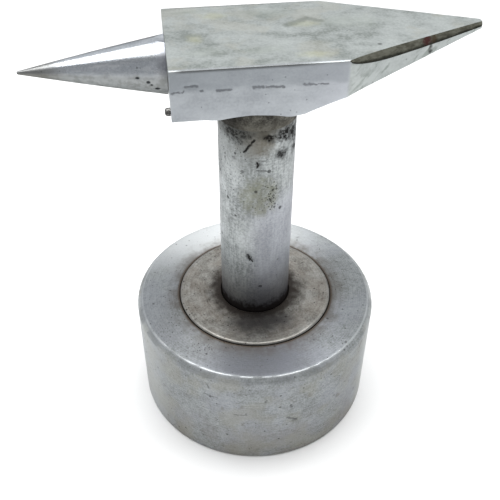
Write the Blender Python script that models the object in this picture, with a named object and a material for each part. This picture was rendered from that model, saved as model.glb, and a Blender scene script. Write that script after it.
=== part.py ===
"""Small bench anvil: a flat-faced head with a tapered beak and a round horn, carried
by a round post on a heavy turned base.

Units are metres and +Z is up. The origin is the centre of the base's underside. +X runs
along the head towards the flat beak, and -X towards the round horn.
"""

import math

import bmesh
import bpy
from mathutils import Matrix, Vector

MM = 0.001

# Gap kept between two pieces that touch or fit into each other.
GAP = 0.3 * MM

# How far a cutting shape reaches past the face that it enters.
CUT_MARGIN = 2.0 * MM

# Depth of a drilled hole's pointed end, as a share of the hole's radius.
DRILL_POINT = 0.6

# Base, a turned steel block with a recess on top and a relief underneath.
BASE_RADIUS = 30.0 * MM
BASE_HEIGHT = 30.0 * MM
BASE_RIM_CHAMFER = 1.3 * MM
BASE_RIM_EASE = 0.35 * MM
BASE_RIM_EASE_DROP = 0.1 * MM
BASE_FOOT_CHAMFER = 0.6 * MM
RELIEF_RADIUS = 22.0 * MM
RELIEF_DEPTH = 1.0 * MM
RECESS_DEPTH = 4.0 * MM
RECESS_CHAMFER = 0.4 * MM

# Foot flange, the disc around the post in the base's recess.
FLANGE_RADIUS = 19.0 * MM
FLANGE_PROUD = 0.5 * MM
FLANGE_RIM_ROUND = 0.8 * MM
FLANGE_BORE_CHAMFER = 0.3 * MM

# Post, with a spigot into the base and a tenon into the head.
POST_RADIUS = 8.4 * MM
SPIGOT_RADIUS = 4.5 * MM
SPIGOT_LENGTH = 13.0 * MM
TENON_RADIUS = 6.0 * MM
TENON_LENGTH = 6.5 * MM
POST_CHAMFER = 0.4 * MM

# Screw that pulls the post down from under the base, and its spring washer.
SCREW_RADIUS = 2.5 * MM
SCREW_LENGTH = 21.0 * MM
SCREW_HEAD_RADIUS = 4.25 * MM
SCREW_HEAD_HEIGHT = 5.0 * MM
SCREW_SOCKET_ACROSS_FLATS = 4.0 * MM
SCREW_SOCKET_DEPTH = 2.5 * MM
SCREW_EDGE_CHAMFER = 0.4 * MM
SCREW_CLEARANCE = 0.4 * MM
TAPPED_DEPTH = 18.0 * MM
COUNTERBORE_RADIUS = 5.3 * MM
WEB_THICKNESS = 4.0 * MM
WASHER_INNER_RADIUS = 2.9 * MM
WASHER_OUTER_RADIUS = 4.6 * MM
WASHER_THICKNESS = 1.2 * MM
WASHER_RISE = 0.3 * MM
WASHER_SPLIT_DEGREES = 14.0

# Head, a flat bar whose right end is cut to a beak.
HEAD_UNDERSIDE_Z = 89.0 * MM
HEAD_HEIGHT = 10.3 * MM
HEAD_WIDTH = 28.0 * MM
HEAD_END_X = -18.2 * MM
UNDERCUT_START_X = 7.1 * MM
BEAK_START_X = 14.9 * MM
BEAK_TIP_X = 45.6 * MM
BEAK_TIP_WIDTH = 1.3 * MM
BEAK_TIP_HEIGHT = 1.35 * MM
BEAK_START_HEIGHT = 7.25 * MM
UNDERCUT_BLEND = 0.5 * MM
BEVEL_INSET = 0.6 * MM
BEVEL_DROP = 1.75 * MM
BEVEL_TIP_INSET = 0.25 * MM
BEVEL_TIP_DROP = 0.75 * MM
BEVEL_RISE_RATE = 2.2
BEVEL_FADE_POWER = 3
HEAD_EDGE_CHAMFER = 0.25 * MM
TIP_EDGE_SHARE = 0.4

# Round horn and the stud that holds it to the head's end.
HORN_TIP_X = -46.8 * MM
HORN_TIP_Z = 93.9 * MM
HORN_BASE_Z = 93.85 * MM
HORN_BASE_RADIUS = 5.8 * MM
HORN_TIP_RADIUS = 0.35 * MM
HORN_SWELL = 0.12 * MM
STUD_RADIUS = 2.5 * MM
STUD_IN_HEAD = 8.0 * MM
STUD_IN_HORN = 9.0 * MM
STUD_CHAMFER = 0.4 * MM

# Weld fillet under the head, around the top of the post. The power sets how hollow it is.
WELD_WIDTH = 2.4 * MM
WELD_HEIGHT = 6.4 * MM
WELD_TOE = 0.35 * MM
WELD_HOLLOW_POWER = 2.2

# Small slotted screw low on the head's end face, at the front.
END_SCREW_Y = -12.4 * MM
END_SCREW_Z = 90.4 * MM
END_SCREW_HEAD_RADIUS = 0.8 * MM
END_SCREW_HEAD_HEIGHT = 0.8 * MM
END_SCREW_EDGE_CHAMFER = 0.2 * MM
END_SCREW_RADIUS = 0.45 * MM
END_SCREW_LENGTH = 4.0 * MM
END_SCREW_SLOT_WIDTH = 0.3 * MM
END_SCREW_SLOT_DEPTH = 0.4 * MM

# Facets around a full turn.
FINE = 72
MEDIUM = 48
SMALL = 24

# Heights that follow from the sizes above.
HEAD_TOP_Z = HEAD_UNDERSIDE_Z + HEAD_HEIGHT
RECESS_FLOOR_Z = BASE_HEIGHT - RECESS_DEPTH
POST_SHOULDER_Z = RECESS_FLOOR_Z + GAP
POST_TOP_Z = HEAD_UNDERSIDE_Z - GAP
SPIGOT_END_Z = POST_SHOULDER_Z - SPIGOT_LENGTH
WEB_TOP_Z = SPIGOT_END_Z - GAP
WEB_UNDERSIDE_Z = WEB_TOP_Z - WEB_THICKNESS
SCREW_SEAT_Z = WEB_UNDERSIDE_Z - GAP - WASHER_THICKNESS - WASHER_RISE - GAP


def clear_scene():
    for existing in list(bpy.data.objects):
        bpy.data.objects.remove(existing, do_unlink=True)


def steel(name, colour, roughness):
    """A metallic Principled material with its diffuse viewport colour."""
    material = bpy.data.materials.new(name)
    material.use_nodes = True
    shader = material.node_tree.nodes["Principled BSDF"]
    shader.inputs["Base Color"].default_value = (*colour, 1.0)
    shader.inputs["Metallic"].default_value = 1.0
    shader.inputs["Roughness"].default_value = roughness
    material.diffuse_color = (*colour, 1.0)
    return material


def finish_object(name, mesh_data, material, parent):
    """Turn a bmesh into a named object that is shaded smooth up to 30 degrees."""
    bmesh.ops.recalc_face_normals(mesh_data, faces=mesh_data.faces)
    mesh = bpy.data.meshes.new(name)
    mesh_data.to_mesh(mesh)
    mesh_data.free()
    mesh.shade_smooth()
    mesh.set_sharp_from_angle(angle=math.radians(30.0))
    mesh.materials.append(material)
    piece = bpy.data.objects.new(name, mesh)
    bpy.context.scene.collection.objects.link(piece)
    piece.parent = parent
    return piece


def quarter_round(centre_r, centre_z, radius, start_degrees, end_degrees, steps):
    """Points of an arc in the (radius, height) plane."""
    points = []
    for step in range(steps + 1):
        angle = math.radians(start_degrees + (end_degrees - start_degrees) * step / steps)
        points.append((centre_r + radius * math.cos(angle), centre_z + radius * math.sin(angle)))
    return points


def eased_chamfer(radius, height, size, ease, drop):
    """A 45 degree chamfer on an outer top rim, from the side up, with both its edges broken."""
    return [
        (radius, height - size),
        (radius - drop, height - size + ease),
        (radius - size + ease, height - drop),
        (radius - size, height),
    ]


def turned(profile, segments, closed):
    """Spin a (radius, height) profile about Z. An open profile ends on the axis."""
    mesh_data = bmesh.new()
    corners = [mesh_data.verts.new((radius, 0.0, height)) for radius, height in profile]
    edges = [mesh_data.edges.new(pair) for pair in zip(corners, corners[1:])]
    if closed:
        edges.append(mesh_data.edges.new((corners[-1], corners[0])))
    bmesh.ops.spin(
        mesh_data,
        geom=corners + edges,
        cent=(0.0, 0.0, 0.0),
        axis=(0.0, 0.0, 1.0),
        angle=2.0 * math.pi,
        steps=segments,
        use_merge=True,
    )
    bmesh.ops.remove_doubles(mesh_data, verts=mesh_data.verts, dist=1e-6)
    return mesh_data


def lay_along_x(piece, x, y, z):
    """Lay a piece that was turned about Z along the X axis, its end at a point, running to -X."""
    piece.location = (x, y, z)
    piece.rotation_euler = (0.0, math.radians(-90.0), 0.0)


def cut_with(piece, mesh_data, name, parent):
    """Subtract a closed shape from a piece, keeping the cutter as a wire guide."""
    bmesh.ops.recalc_face_normals(mesh_data, faces=mesh_data.faces)
    mesh = bpy.data.meshes.new(name)
    mesh_data.to_mesh(mesh)
    mesh_data.free()
    cutter = bpy.data.objects.new(name, mesh)
    bpy.context.scene.collection.objects.link(cutter)
    cutter.parent = parent
    cutter.hide_render = True
    cutter.display_type = "WIRE"
    boolean = piece.modifiers.new(name, "BOOLEAN")
    boolean.operation = "DIFFERENCE"
    boolean.solver = "EXACT"
    boolean.object = cutter
    return cutter


def make_base_block(material, parent):
    bore_radius = SPIGOT_RADIUS + GAP
    recess_radius = FLANGE_RADIUS + GAP
    profile = [
        (RELIEF_RADIUS, RELIEF_DEPTH),
        (RELIEF_RADIUS + BASE_FOOT_CHAMFER, 0.0),
        (BASE_RADIUS - BASE_FOOT_CHAMFER, 0.0),
        (BASE_RADIUS, BASE_FOOT_CHAMFER),
        *eased_chamfer(
            BASE_RADIUS, BASE_HEIGHT, BASE_RIM_CHAMFER, BASE_RIM_EASE, BASE_RIM_EASE_DROP
        ),
        (recess_radius + RECESS_CHAMFER, BASE_HEIGHT),
        (recess_radius, BASE_HEIGHT - RECESS_CHAMFER),
        (recess_radius, RECESS_FLOOR_Z),
        (bore_radius, RECESS_FLOOR_Z),
        (bore_radius, WEB_TOP_Z),
        (SCREW_RADIUS + SCREW_CLEARANCE, WEB_TOP_Z),
        (SCREW_RADIUS + SCREW_CLEARANCE, WEB_UNDERSIDE_Z),
        (COUNTERBORE_RADIUS, WEB_UNDERSIDE_Z),
        (COUNTERBORE_RADIUS, RELIEF_DEPTH),
    ]
    return finish_object("base_block", turned(profile, FINE, closed=True), material, parent)


def make_foot_flange(material, parent):
    bore_radius = POST_RADIUS + GAP
    top_z = BASE_HEIGHT + FLANGE_PROUD
    rim = quarter_round(
        FLANGE_RADIUS - FLANGE_RIM_ROUND, top_z - FLANGE_RIM_ROUND, FLANGE_RIM_ROUND, 0.0, 90.0, 4
    )
    profile = [
        (bore_radius, POST_SHOULDER_Z),
        (FLANGE_RADIUS, POST_SHOULDER_Z),
        *rim,
        (bore_radius + FLANGE_BORE_CHAMFER, top_z),
        (bore_radius, top_z - FLANGE_BORE_CHAMFER),
    ]
    return finish_object("foot_flange", turned(profile, FINE, closed=True), material, parent)


def make_post(material, parent):
    hole_radius = SCREW_RADIUS + GAP
    hole_top_z = SPIGOT_END_Z + TAPPED_DEPTH
    tenon_top_z = POST_TOP_Z + TENON_LENGTH
    profile = [
        (0.0, hole_top_z + hole_radius * DRILL_POINT),
        (hole_radius, hole_top_z),
        (hole_radius, SPIGOT_END_Z),
        (SPIGOT_RADIUS - POST_CHAMFER, SPIGOT_END_Z),
        (SPIGOT_RADIUS, SPIGOT_END_Z + POST_CHAMFER),
        (SPIGOT_RADIUS, POST_SHOULDER_Z),
        (POST_RADIUS - POST_CHAMFER, POST_SHOULDER_Z),
        (POST_RADIUS, POST_SHOULDER_Z + POST_CHAMFER),
        (POST_RADIUS, POST_TOP_Z),
        (TENON_RADIUS, POST_TOP_Z),
        (TENON_RADIUS, tenon_top_z - POST_CHAMFER),
        (TENON_RADIUS - POST_CHAMFER, tenon_top_z),
        (0.0, tenon_top_z),
    ]
    return finish_object("post", turned(profile, MEDIUM, closed=False), material, parent)


def make_hold_down_screw(material, parent):
    head_bottom_z = SCREW_SEAT_Z - SCREW_HEAD_HEIGHT
    edge = SCREW_EDGE_CHAMFER
    profile = [
        (0.0, SCREW_SEAT_Z + SCREW_LENGTH),
        (SCREW_RADIUS - edge, SCREW_SEAT_Z + SCREW_LENGTH),
        (SCREW_RADIUS, SCREW_SEAT_Z + SCREW_LENGTH - edge),
        (SCREW_RADIUS, SCREW_SEAT_Z),
        (SCREW_HEAD_RADIUS, SCREW_SEAT_Z),
        (SCREW_HEAD_RADIUS, head_bottom_z + edge),
        (SCREW_HEAD_RADIUS - edge, head_bottom_z),
        (0.0, head_bottom_z),
    ]
    screw = finish_object("hold_down_screw", turned(profile, SMALL, closed=False), material, parent)
    socket = bmesh.new()
    corner_radius = SCREW_SOCKET_ACROSS_FLATS / math.sqrt(3.0)
    centre_z = head_bottom_z + (SCREW_SOCKET_DEPTH - CUT_MARGIN) / 2.0
    bmesh.ops.create_cone(
        socket,
        cap_ends=True,
        segments=6,
        radius1=corner_radius,
        radius2=corner_radius,
        depth=SCREW_SOCKET_DEPTH + CUT_MARGIN,
        matrix=Matrix.Translation((0.0, 0.0, centre_z)),
    )
    cut_with(screw, socket, "hold_down_screw_socket_cut", parent)
    return screw


def make_spring_washer(material, parent):
    """An open ring of rectangular section whose ends are slightly out of line."""
    bottom_z = SCREW_SEAT_Z + GAP
    arc = math.radians(360.0 - WASHER_SPLIT_DEGREES)
    start = math.radians(WASHER_SPLIT_DEGREES / 2.0)
    mesh_data = bmesh.new()
    rings = []
    for step in range(SMALL + 1):
        share = step / SMALL
        angle = start + arc * share
        low = bottom_z + WASHER_RISE * share
        section = []
        for radius, height in (
            (WASHER_INNER_RADIUS, low),
            (WASHER_OUTER_RADIUS, low),
            (WASHER_OUTER_RADIUS, low + WASHER_THICKNESS),
            (WASHER_INNER_RADIUS, low + WASHER_THICKNESS),
        ):
            point = (radius * math.cos(angle), radius * math.sin(angle), height)
            section.append(mesh_data.verts.new(point))
        rings.append(section)
    for first, second in zip(rings, rings[1:]):
        for corner in range(4):
            following = (corner + 1) % 4
            mesh_data.faces.new((first[corner], first[following], second[following], second[corner]))
    mesh_data.faces.new(rings[0])
    mesh_data.faces.new(rings[-1])
    return finish_object("spring_washer", mesh_data, material, parent)


def beak_share(x):
    """0 at the start of the beak's side taper and 1 at the tip."""
    return (x - BEAK_START_X) / (BEAK_TIP_X - BEAK_START_X)


def half_width(x):
    if x <= BEAK_START_X:
        return HEAD_WIDTH / 2.0
    share = beak_share(x)
    return (HEAD_WIDTH * (1.0 - share) + BEAK_TIP_WIDTH * share) / 2.0


def underside_z(x):
    """Flat under the post, then a steep undercut that flattens out towards the tip."""
    if x <= UNDERCUT_START_X:
        return HEAD_UNDERSIDE_Z
    corner_z = HEAD_TOP_Z - BEAK_START_HEIGHT
    tip_z = HEAD_TOP_Z - BEAK_TIP_HEIGHT
    steep_slope = (corner_z - HEAD_UNDERSIDE_Z) / (BEAK_START_X - UNDERCUT_START_X)
    steep = HEAD_UNDERSIDE_Z + steep_slope * (x - UNDERCUT_START_X)
    shallow = corner_z + (tip_z - corner_z) * beak_share(x)
    if x == UNDERCUT_START_X:
        return steep
    return (steep + shallow - math.hypot(steep - shallow, UNDERCUT_BLEND)) / 2.0


def bevel_size(x):
    """Inset and drop of the ground bevel on the beak's top edges, a long lens in shape."""
    share = min(max(beak_share(x), 0.0), 1.0)
    rise = math.sin(math.pi * min(share * BEVEL_RISE_RATE, 1.0) / 2.0)
    fade = 1.0 - share ** BEVEL_FADE_POWER
    inset = BEVEL_TIP_INSET * share + rise * fade * (BEVEL_INSET - BEVEL_TIP_INSET * share)
    drop = BEVEL_TIP_DROP * share + rise * fade * (BEVEL_DROP - BEVEL_TIP_DROP * share)
    return max(inset, HEAD_EDGE_CHAMFER), max(drop, HEAD_EDGE_CHAMFER)


def head_section(x):
    """Corner points (y, z) of the head at x, from the front bottom edge round to the back."""
    side = half_width(x)
    low = underside_z(x)
    inset, drop = bevel_size(x)
    edge = min(HEAD_EDGE_CHAMFER, side * TIP_EDGE_SHARE)
    return [
        (-side + edge, low),
        (-side, low + edge),
        (-side, HEAD_TOP_Z - drop),
        (-side + inset, HEAD_TOP_Z),
        (side - HEAD_EDGE_CHAMFER, HEAD_TOP_Z),
        (side, HEAD_TOP_Z - HEAD_EDGE_CHAMFER),
        (side, low + edge),
        (side - edge, low),
    ]


def make_head_block(material, parent):
    stations = [HEAD_END_X, UNDERCUT_START_X]
    blend_steps = 3
    for step in range(1, blend_steps + 1):
        stations.append(UNDERCUT_START_X + (BEAK_START_X - UNDERCUT_START_X) * step / blend_steps)
    beak_steps = 12
    for step in range(1, beak_steps + 1):
        stations.append(BEAK_START_X + (BEAK_TIP_X - BEAK_START_X) * step / beak_steps)
    mesh_data = bmesh.new()
    loops = []
    for x in stations:
        loops.append([mesh_data.verts.new((x, y, z)) for y, z in head_section(x)])
    corners = len(loops[0])
    for first, second in zip(loops, loops[1:]):
        for corner in range(corners):
            following = (corner + 1) % corners
            mesh_data.faces.new((first[corner], first[following], second[following], second[corner]))
    mesh_data.faces.new(loops[0])
    mesh_data.faces.new(loops[-1])
    head = finish_object("head_block", mesh_data, material, parent)

    tenon_socket = bmesh.new()
    socket_top = POST_TOP_Z + TENON_LENGTH + GAP
    socket_depth = socket_top - HEAD_UNDERSIDE_Z + CUT_MARGIN
    bmesh.ops.create_cone(
        tenon_socket,
        cap_ends=True,
        segments=MEDIUM,
        radius1=TENON_RADIUS + GAP,
        radius2=TENON_RADIUS + GAP,
        depth=socket_depth,
        matrix=Matrix.Translation((0.0, 0.0, socket_top - socket_depth / 2.0)),
    )
    cut_with(head, tenon_socket, "head_tenon_socket_cut", parent)

    bore_in_head_end(head, "head_stud_bore_cut", STUD_RADIUS, STUD_IN_HEAD, 0.0, HORN_BASE_Z)
    bore_in_head_end(
        head, "head_end_screw_bore_cut", END_SCREW_RADIUS, END_SCREW_LENGTH, END_SCREW_Y, END_SCREW_Z
    )
    return head


def bore_in_head_end(head, name, pin_radius, pin_depth, y, z):
    """Bore into the head's end face along +X, a gap larger than the pin that goes in."""
    bore = bmesh.new()
    depth = pin_depth + GAP
    centre = Vector((HEAD_END_X + (depth - CUT_MARGIN) / 2.0, y, z))
    bmesh.ops.create_cone(
        bore,
        cap_ends=True,
        segments=SMALL,
        radius1=pin_radius + GAP,
        radius2=pin_radius + GAP,
        depth=depth + CUT_MARGIN,
        matrix=Matrix.Translation(centre) @ Matrix.Rotation(math.radians(90.0), 4, "Y"),
    )
    cut_with(head, bore, name, head.parent)


def make_round_horn(material, parent):
    """A slightly swelling cone whose base top is ground flush with the anvil's face."""
    base_x = HEAD_END_X - GAP
    length = base_x - HORN_TIP_X
    bore_radius = STUD_RADIUS + GAP
    bore_depth = STUD_IN_HORN + GAP
    steps = 12
    body_length = length - HORN_TIP_RADIUS
    bore_end = bore_depth + bore_radius * DRILL_POINT
    profile = [(0.0, bore_end), (bore_radius, bore_depth), (bore_radius, 0.0)]
    for step in range(steps + 1):
        share = step / steps
        swell = HORN_SWELL * math.sin(math.pi * share)
        radius = HORN_BASE_RADIUS + (HORN_TIP_RADIUS - HORN_BASE_RADIUS) * share + swell
        profile.append((radius, body_length * share))
    tip = quarter_round(0.0, body_length, HORN_TIP_RADIUS, 0.0, 90.0, 4)
    profile.extend(tip[1:-1])
    profile.append((0.0, length))
    mesh_data = turned(profile, MEDIUM, closed=False)
    lean = math.atan2(HORN_TIP_Z - HORN_BASE_Z, length)
    mesh_data.transform(Matrix.Rotation(math.radians(-90.0) + lean, 4, "Y"))
    mesh_data.transform(Matrix.Translation((base_x, 0.0, HORN_BASE_Z)))
    cut = bmesh.ops.bisect_plane(
        mesh_data,
        geom=mesh_data.verts[:] + mesh_data.edges[:] + mesh_data.faces[:],
        dist=1e-7,
        plane_co=(0.0, 0.0, HEAD_TOP_Z),
        plane_no=(0.0, 0.0, 1.0),
        clear_outer=True,
    )
    rim = [item for item in cut["geom_cut"] if isinstance(item, bmesh.types.BMEdge)]
    bmesh.ops.contextual_create(mesh_data, geom=rim)
    return finish_object("round_horn", mesh_data, material, parent)


def make_horn_stud(material, parent):
    length = STUD_IN_HEAD + STUD_IN_HORN
    profile = [
        (0.0, length),
        (STUD_RADIUS - STUD_CHAMFER, length),
        (STUD_RADIUS, length - STUD_CHAMFER),
        (STUD_RADIUS, STUD_CHAMFER),
        (STUD_RADIUS - STUD_CHAMFER, 0.0),
        (0.0, 0.0),
    ]
    stud = finish_object("horn_stud", turned(profile, SMALL, closed=False), material, parent)
    lay_along_x(stud, HEAD_END_X + STUD_IN_HEAD - GAP, 0.0, HORN_BASE_Z)
    return stud


def make_weld_bead(material, parent):
    """A hollow fillet between the head's underside and the post, with a blunt toe."""
    inner = POST_RADIUS + GAP
    steps = 6
    profile = [(inner, POST_TOP_Z)]
    for step in range(steps + 1):
        share = step / steps
        out = inner + WELD_TOE + (WELD_WIDTH - WELD_TOE) * (1.0 - share) ** WELD_HOLLOW_POWER
        profile.append((out, POST_TOP_Z - WELD_HEIGHT * share))
    profile.append((inner, POST_TOP_Z - WELD_HEIGHT))
    return finish_object("weld_bead", turned(profile, MEDIUM, closed=True), material, parent)


def make_end_screw(material, parent):
    """Local +Z runs from the shank's end to the slotted head."""
    head_start = END_SCREW_LENGTH + GAP
    head_end = head_start + END_SCREW_HEAD_HEIGHT
    edge = END_SCREW_EDGE_CHAMFER
    profile = [
        (0.0, 0.0),
        (END_SCREW_RADIUS, 0.0),
        (END_SCREW_RADIUS, head_start),
        (END_SCREW_HEAD_RADIUS, head_start),
        (END_SCREW_HEAD_RADIUS, head_end - edge),
        (END_SCREW_HEAD_RADIUS - edge, head_end),
        (0.0, head_end),
    ]
    screw = finish_object("end_screw", turned(profile, SMALL, closed=False), material, parent)
    lay_along_x(screw, HEAD_END_X + END_SCREW_LENGTH, END_SCREW_Y, END_SCREW_Z)
    slot = bmesh.new()
    head_face_x = HEAD_END_X - GAP - END_SCREW_HEAD_HEIGHT
    centre_x = head_face_x + (END_SCREW_SLOT_DEPTH - CUT_MARGIN) / 2.0
    slot_length = 4.0 * END_SCREW_HEAD_RADIUS
    size = Vector((END_SCREW_SLOT_DEPTH + CUT_MARGIN, slot_length, END_SCREW_SLOT_WIDTH))
    place = Matrix.Translation((centre_x, END_SCREW_Y, END_SCREW_Z))
    bmesh.ops.create_cube(slot, size=1.0, matrix=place @ Matrix.Diagonal(size).to_4x4())
    cut_with(screw, slot, "end_screw_slot_cut", parent)
    return screw


def main():
    clear_scene()
    anvil = bpy.data.objects.new("anvil", None)
    bpy.context.scene.collection.objects.link(anvil)
    satin = steel("turned satin steel", (0.50, 0.52, 0.53), 0.38)
    worn = steel("worn disc steel", (0.44, 0.43, 0.42), 0.45)
    drawn = steel("aged drawn steel", (0.42, 0.44, 0.45), 0.42)
    ground = steel("ground tool steel", (0.56, 0.58, 0.59), 0.34)
    polished = steel("polished horn steel", (0.60, 0.62, 0.64), 0.20)
    weld = steel("weld metal", (0.18, 0.17, 0.16), 0.60)
    black = steel("black oxide steel", (0.06, 0.06, 0.065), 0.45)
    plain = steel("bright fastener steel", (0.45, 0.45, 0.45), 0.35)
    make_base_block(satin, anvil)
    make_foot_flange(worn, anvil)
    make_post(drawn, anvil)
    make_hold_down_screw(black, anvil)
    make_spring_washer(plain, anvil)
    make_head_block(ground, anvil)
    make_round_horn(polished, anvil)
    make_horn_stud(plain, anvil)
    make_weld_bead(weld, anvil)
    make_end_screw(black, anvil)


main()
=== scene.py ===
"""Small bench anvil: detailed surfaces, materials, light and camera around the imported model.

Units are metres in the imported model's frame: +Z up, the origin at the centre of the base's
underside, and +X along the head towards the flat beak. Materials work in millimetres.
"""

import math

import bmesh
import bpy
from mathutils import Matrix, Vector, noise


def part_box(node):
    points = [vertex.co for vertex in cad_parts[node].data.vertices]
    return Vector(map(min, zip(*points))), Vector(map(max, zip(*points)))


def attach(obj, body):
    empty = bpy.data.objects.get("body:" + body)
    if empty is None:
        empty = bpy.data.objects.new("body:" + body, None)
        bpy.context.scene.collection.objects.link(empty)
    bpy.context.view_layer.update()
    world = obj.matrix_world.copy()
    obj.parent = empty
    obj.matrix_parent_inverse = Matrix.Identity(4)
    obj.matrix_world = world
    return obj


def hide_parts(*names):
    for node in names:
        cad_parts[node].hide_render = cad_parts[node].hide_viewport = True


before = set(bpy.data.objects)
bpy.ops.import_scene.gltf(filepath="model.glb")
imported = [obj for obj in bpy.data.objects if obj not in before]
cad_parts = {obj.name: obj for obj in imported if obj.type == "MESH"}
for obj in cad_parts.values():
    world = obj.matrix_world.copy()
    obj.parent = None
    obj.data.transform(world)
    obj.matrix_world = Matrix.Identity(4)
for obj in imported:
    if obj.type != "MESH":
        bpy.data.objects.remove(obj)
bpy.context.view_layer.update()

MM = 0.001

# ---------------------------------------------------------------- sizes from the frame
BASE_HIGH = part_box("base_block")[1]
DISC_LOW, DISC_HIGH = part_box("foot_flange")
POST_LOW, POST_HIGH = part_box("post")
HEAD_LOW, HEAD_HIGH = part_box("head_block")
HORN_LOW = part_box("round_horn")[0]
WELD_LOW, WELD_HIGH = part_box("weld_bead")
NUB_LOW, NUB_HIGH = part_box("end_screw")
SCREW_LOW, SCREW_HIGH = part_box("hold_down_screw")
WASHER_LOW, WASHER_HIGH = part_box("spring_washer")
STUD_LOW, STUD_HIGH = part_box("horn_stud")

BASE_RADIUS = BASE_HIGH.y
BASE_TOP = BASE_HIGH.z
DISC_RADIUS = DISC_HIGH.y
DISC_TOP = DISC_HIGH.z
DISC_BOTTOM = DISC_LOW.z
POST_RADIUS = POST_HIGH.y
POST_BOTTOM = POST_LOW.z
POST_TOP = POST_HIGH.z
HEAD_END_X = HEAD_LOW.x
BEAK_TIP_X = HEAD_HIGH.x
HEAD_SIDE = HEAD_HIGH.y
HEAD_TOP = HEAD_HIGH.z
HEAD_UNDERSIDE = HEAD_LOW.z
HORN_TIP_X = HORN_LOW.x
STUD_RADIUS = STUD_HIGH.y
HORN_AXIS_Z = (STUD_LOW.z + STUD_HIGH.z) / 2.0
NUB_Y = (NUB_LOW.y + NUB_HIGH.y) / 2.0
NUB_Z = (NUB_LOW.z + NUB_HIGH.z) / 2.0
NUB_RADIUS = (NUB_HIGH.y - NUB_LOW.y) / 2.0
SCREW_HEAD_RADIUS = SCREW_HIGH.y

# ---------------------------------------------------------------- sizes inside the pieces
GAP = 0.3 * MM
JOINT_GAP = 0.05 * MM
GROOVE = 0.10 * MM
WELD_DISTANCE = 0.001 * MM
SLIVER_SWEEPS = 3
RIM_CHAMFER = 1.3 * MM
RIM_EASE = 0.2 * MM
RIM_SHAVE = 0.03 * MM
RECESS_EDGE = 0.12 * MM
FOOT_CHAMFER = 0.6 * MM
RELIEF_RADIUS = 22.0 * MM
RELIEF_DEPTH = 1.0 * MM
RECESS_FLOOR = DISC_BOTTOM - GAP
SPIGOT_RADIUS = 4.5 * MM
WEB_TOP = POST_BOTTOM - GAP
WEB_UNDERSIDE = WEB_TOP - 4.0 * MM
THREAD_RADIUS = 2.5 * MM
SCREW_CLEARANCE = 0.4 * MM
COUNTERBORE_RADIUS = 5.3 * MM
TAPPED_DEPTH = 18.0 * MM
DRILL_POINT = 0.6
TENON_RADIUS = 6.0 * MM
DISC_RIM = 0.7 * MM
DISC_BORE_EDGE = 0.3 * MM
SMALL_EDGE = 0.4 * MM

UNDERCUT_START_X = 7.1 * MM
BEAK_START_X = 14.9 * MM
BEAK_START_HEIGHT = 7.25 * MM
BEAK_TIP_WIDTH = 1.3 * MM
BEAK_TIP_HEIGHT = 1.35 * MM
BEAK_TIP_ROUND = 0.45 * MM
UNDERCUT_BLEND = 0.5 * MM
BEVEL_INSET = 0.70 * MM
BEVEL_DROP = 1.90 * MM
BEVEL_TIP_INSET = 0.36 * MM
BEVEL_TIP_DROP = 0.95 * MM
BEVEL_RISE_RATE = 3.2
BEVEL_RISE_POWER = 0.45
BEVEL_FADE_POWER = 3
BEVEL_BREAK_INSET = 0.30
BEVEL_BREAK_DROP = 0.42
BEVEL_STEPS = 8
EDGE_ROUND = 0.10 * MM

HORN_BASE_RADIUS = 5.8 * MM
HORN_TIP_RADIUS = 0.35 * MM
HORN_TIP_Z = 93.9 * MM
HORN_SWELL = 0.12 * MM
THREAD_PITCH = 0.8 * MM
THREAD_DEPTH = 0.35 * MM
KNURL_DEPTH = 0.12 * MM
SCREW_STEPS = 120
SOCKET_TURN = 1.5
NUB_SHANK = 0.45 * MM
SLOT_WIDTH = 0.3 * MM
SLOT_DEPTH = 0.4 * MM


# ---------------------------------------------------------------- shaping helpers
def arc(centre_a, centre_b, radius, start, end, steps):
    """Points of an arc in a plane, from start to end in degrees."""
    points = []
    for step in range(steps + 1):
        angle = math.radians(start + (end - start) * step / steps)
        points.append((centre_a + radius * math.cos(angle), centre_b + radius * math.sin(angle)))
    return points


def even(start, end, steps):
    """Evenly spaced points from start up to, but not including, end."""
    return [tuple(a + (b - a) * step / steps for a, b in zip(start, end)) for step in range(steps)]


def densify(points, spacing, closed):
    """Cut each straight run of an outline into steps no longer than spacing."""
    ends = points[1:] + points[:1] if closed else points[1:]
    dense = []
    for start, end in zip(points, ends):
        steps = max(1, math.ceil(math.dist(start, end) / spacing))
        for step in range(steps):
            share = step / steps
            dense.append(tuple(a + (b - a) * share for a, b in zip(start, end)))
    if not closed:
        dense.append(points[-1])
    return dense


def lathe(profile, segments, closed, shape=None):
    """Turn a (radius, height) profile about Z. shape(angle, radius, height) may change a point."""
    mesh_data = bmesh.new()
    poles = {}
    columns = []
    for step in range(segments):
        angle = 2.0 * math.pi * step / segments
        column = []
        for index, (radius, height) in enumerate(profile):
            if radius == 0.0:
                if index not in poles:
                    poles[index] = mesh_data.verts.new((0.0, 0.0, height))
                column.append(poles[index])
                continue
            if shape:
                radius, height = shape(angle, radius, height)
            point = (radius * math.cos(angle), radius * math.sin(angle), height)
            column.append(mesh_data.verts.new(point))
        columns.append(column)
    rows = len(profile)
    last = rows if closed else rows - 1
    for step, column in enumerate(columns):
        beside = columns[(step + 1) % segments]
        for row in range(last):
            above = (row + 1) % rows
            corners = []
            for corner in (column[row], beside[row], beside[above], column[above]):
                if corner not in corners:
                    corners.append(corner)
            mesh_data.faces.new(corners)
    bmesh.ops.recalc_face_normals(mesh_data, faces=mesh_data.faces)
    return mesh_data


def lay_down(mesh_data, degrees, x, y, z):
    """Turn a piece made along Z about the Y axis and move it to its place."""
    mesh_data.transform(Matrix.Rotation(math.radians(degrees), 4, "Y"))
    mesh_data.transform(Matrix.Translation((x, y, z)))


def ripple(point, size, seed=0.0):
    """Smooth noise from -1 to 1 with features of about that size."""
    return noise.noise(point / size + Vector((seed, seed * 1.7, -seed)))


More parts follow.
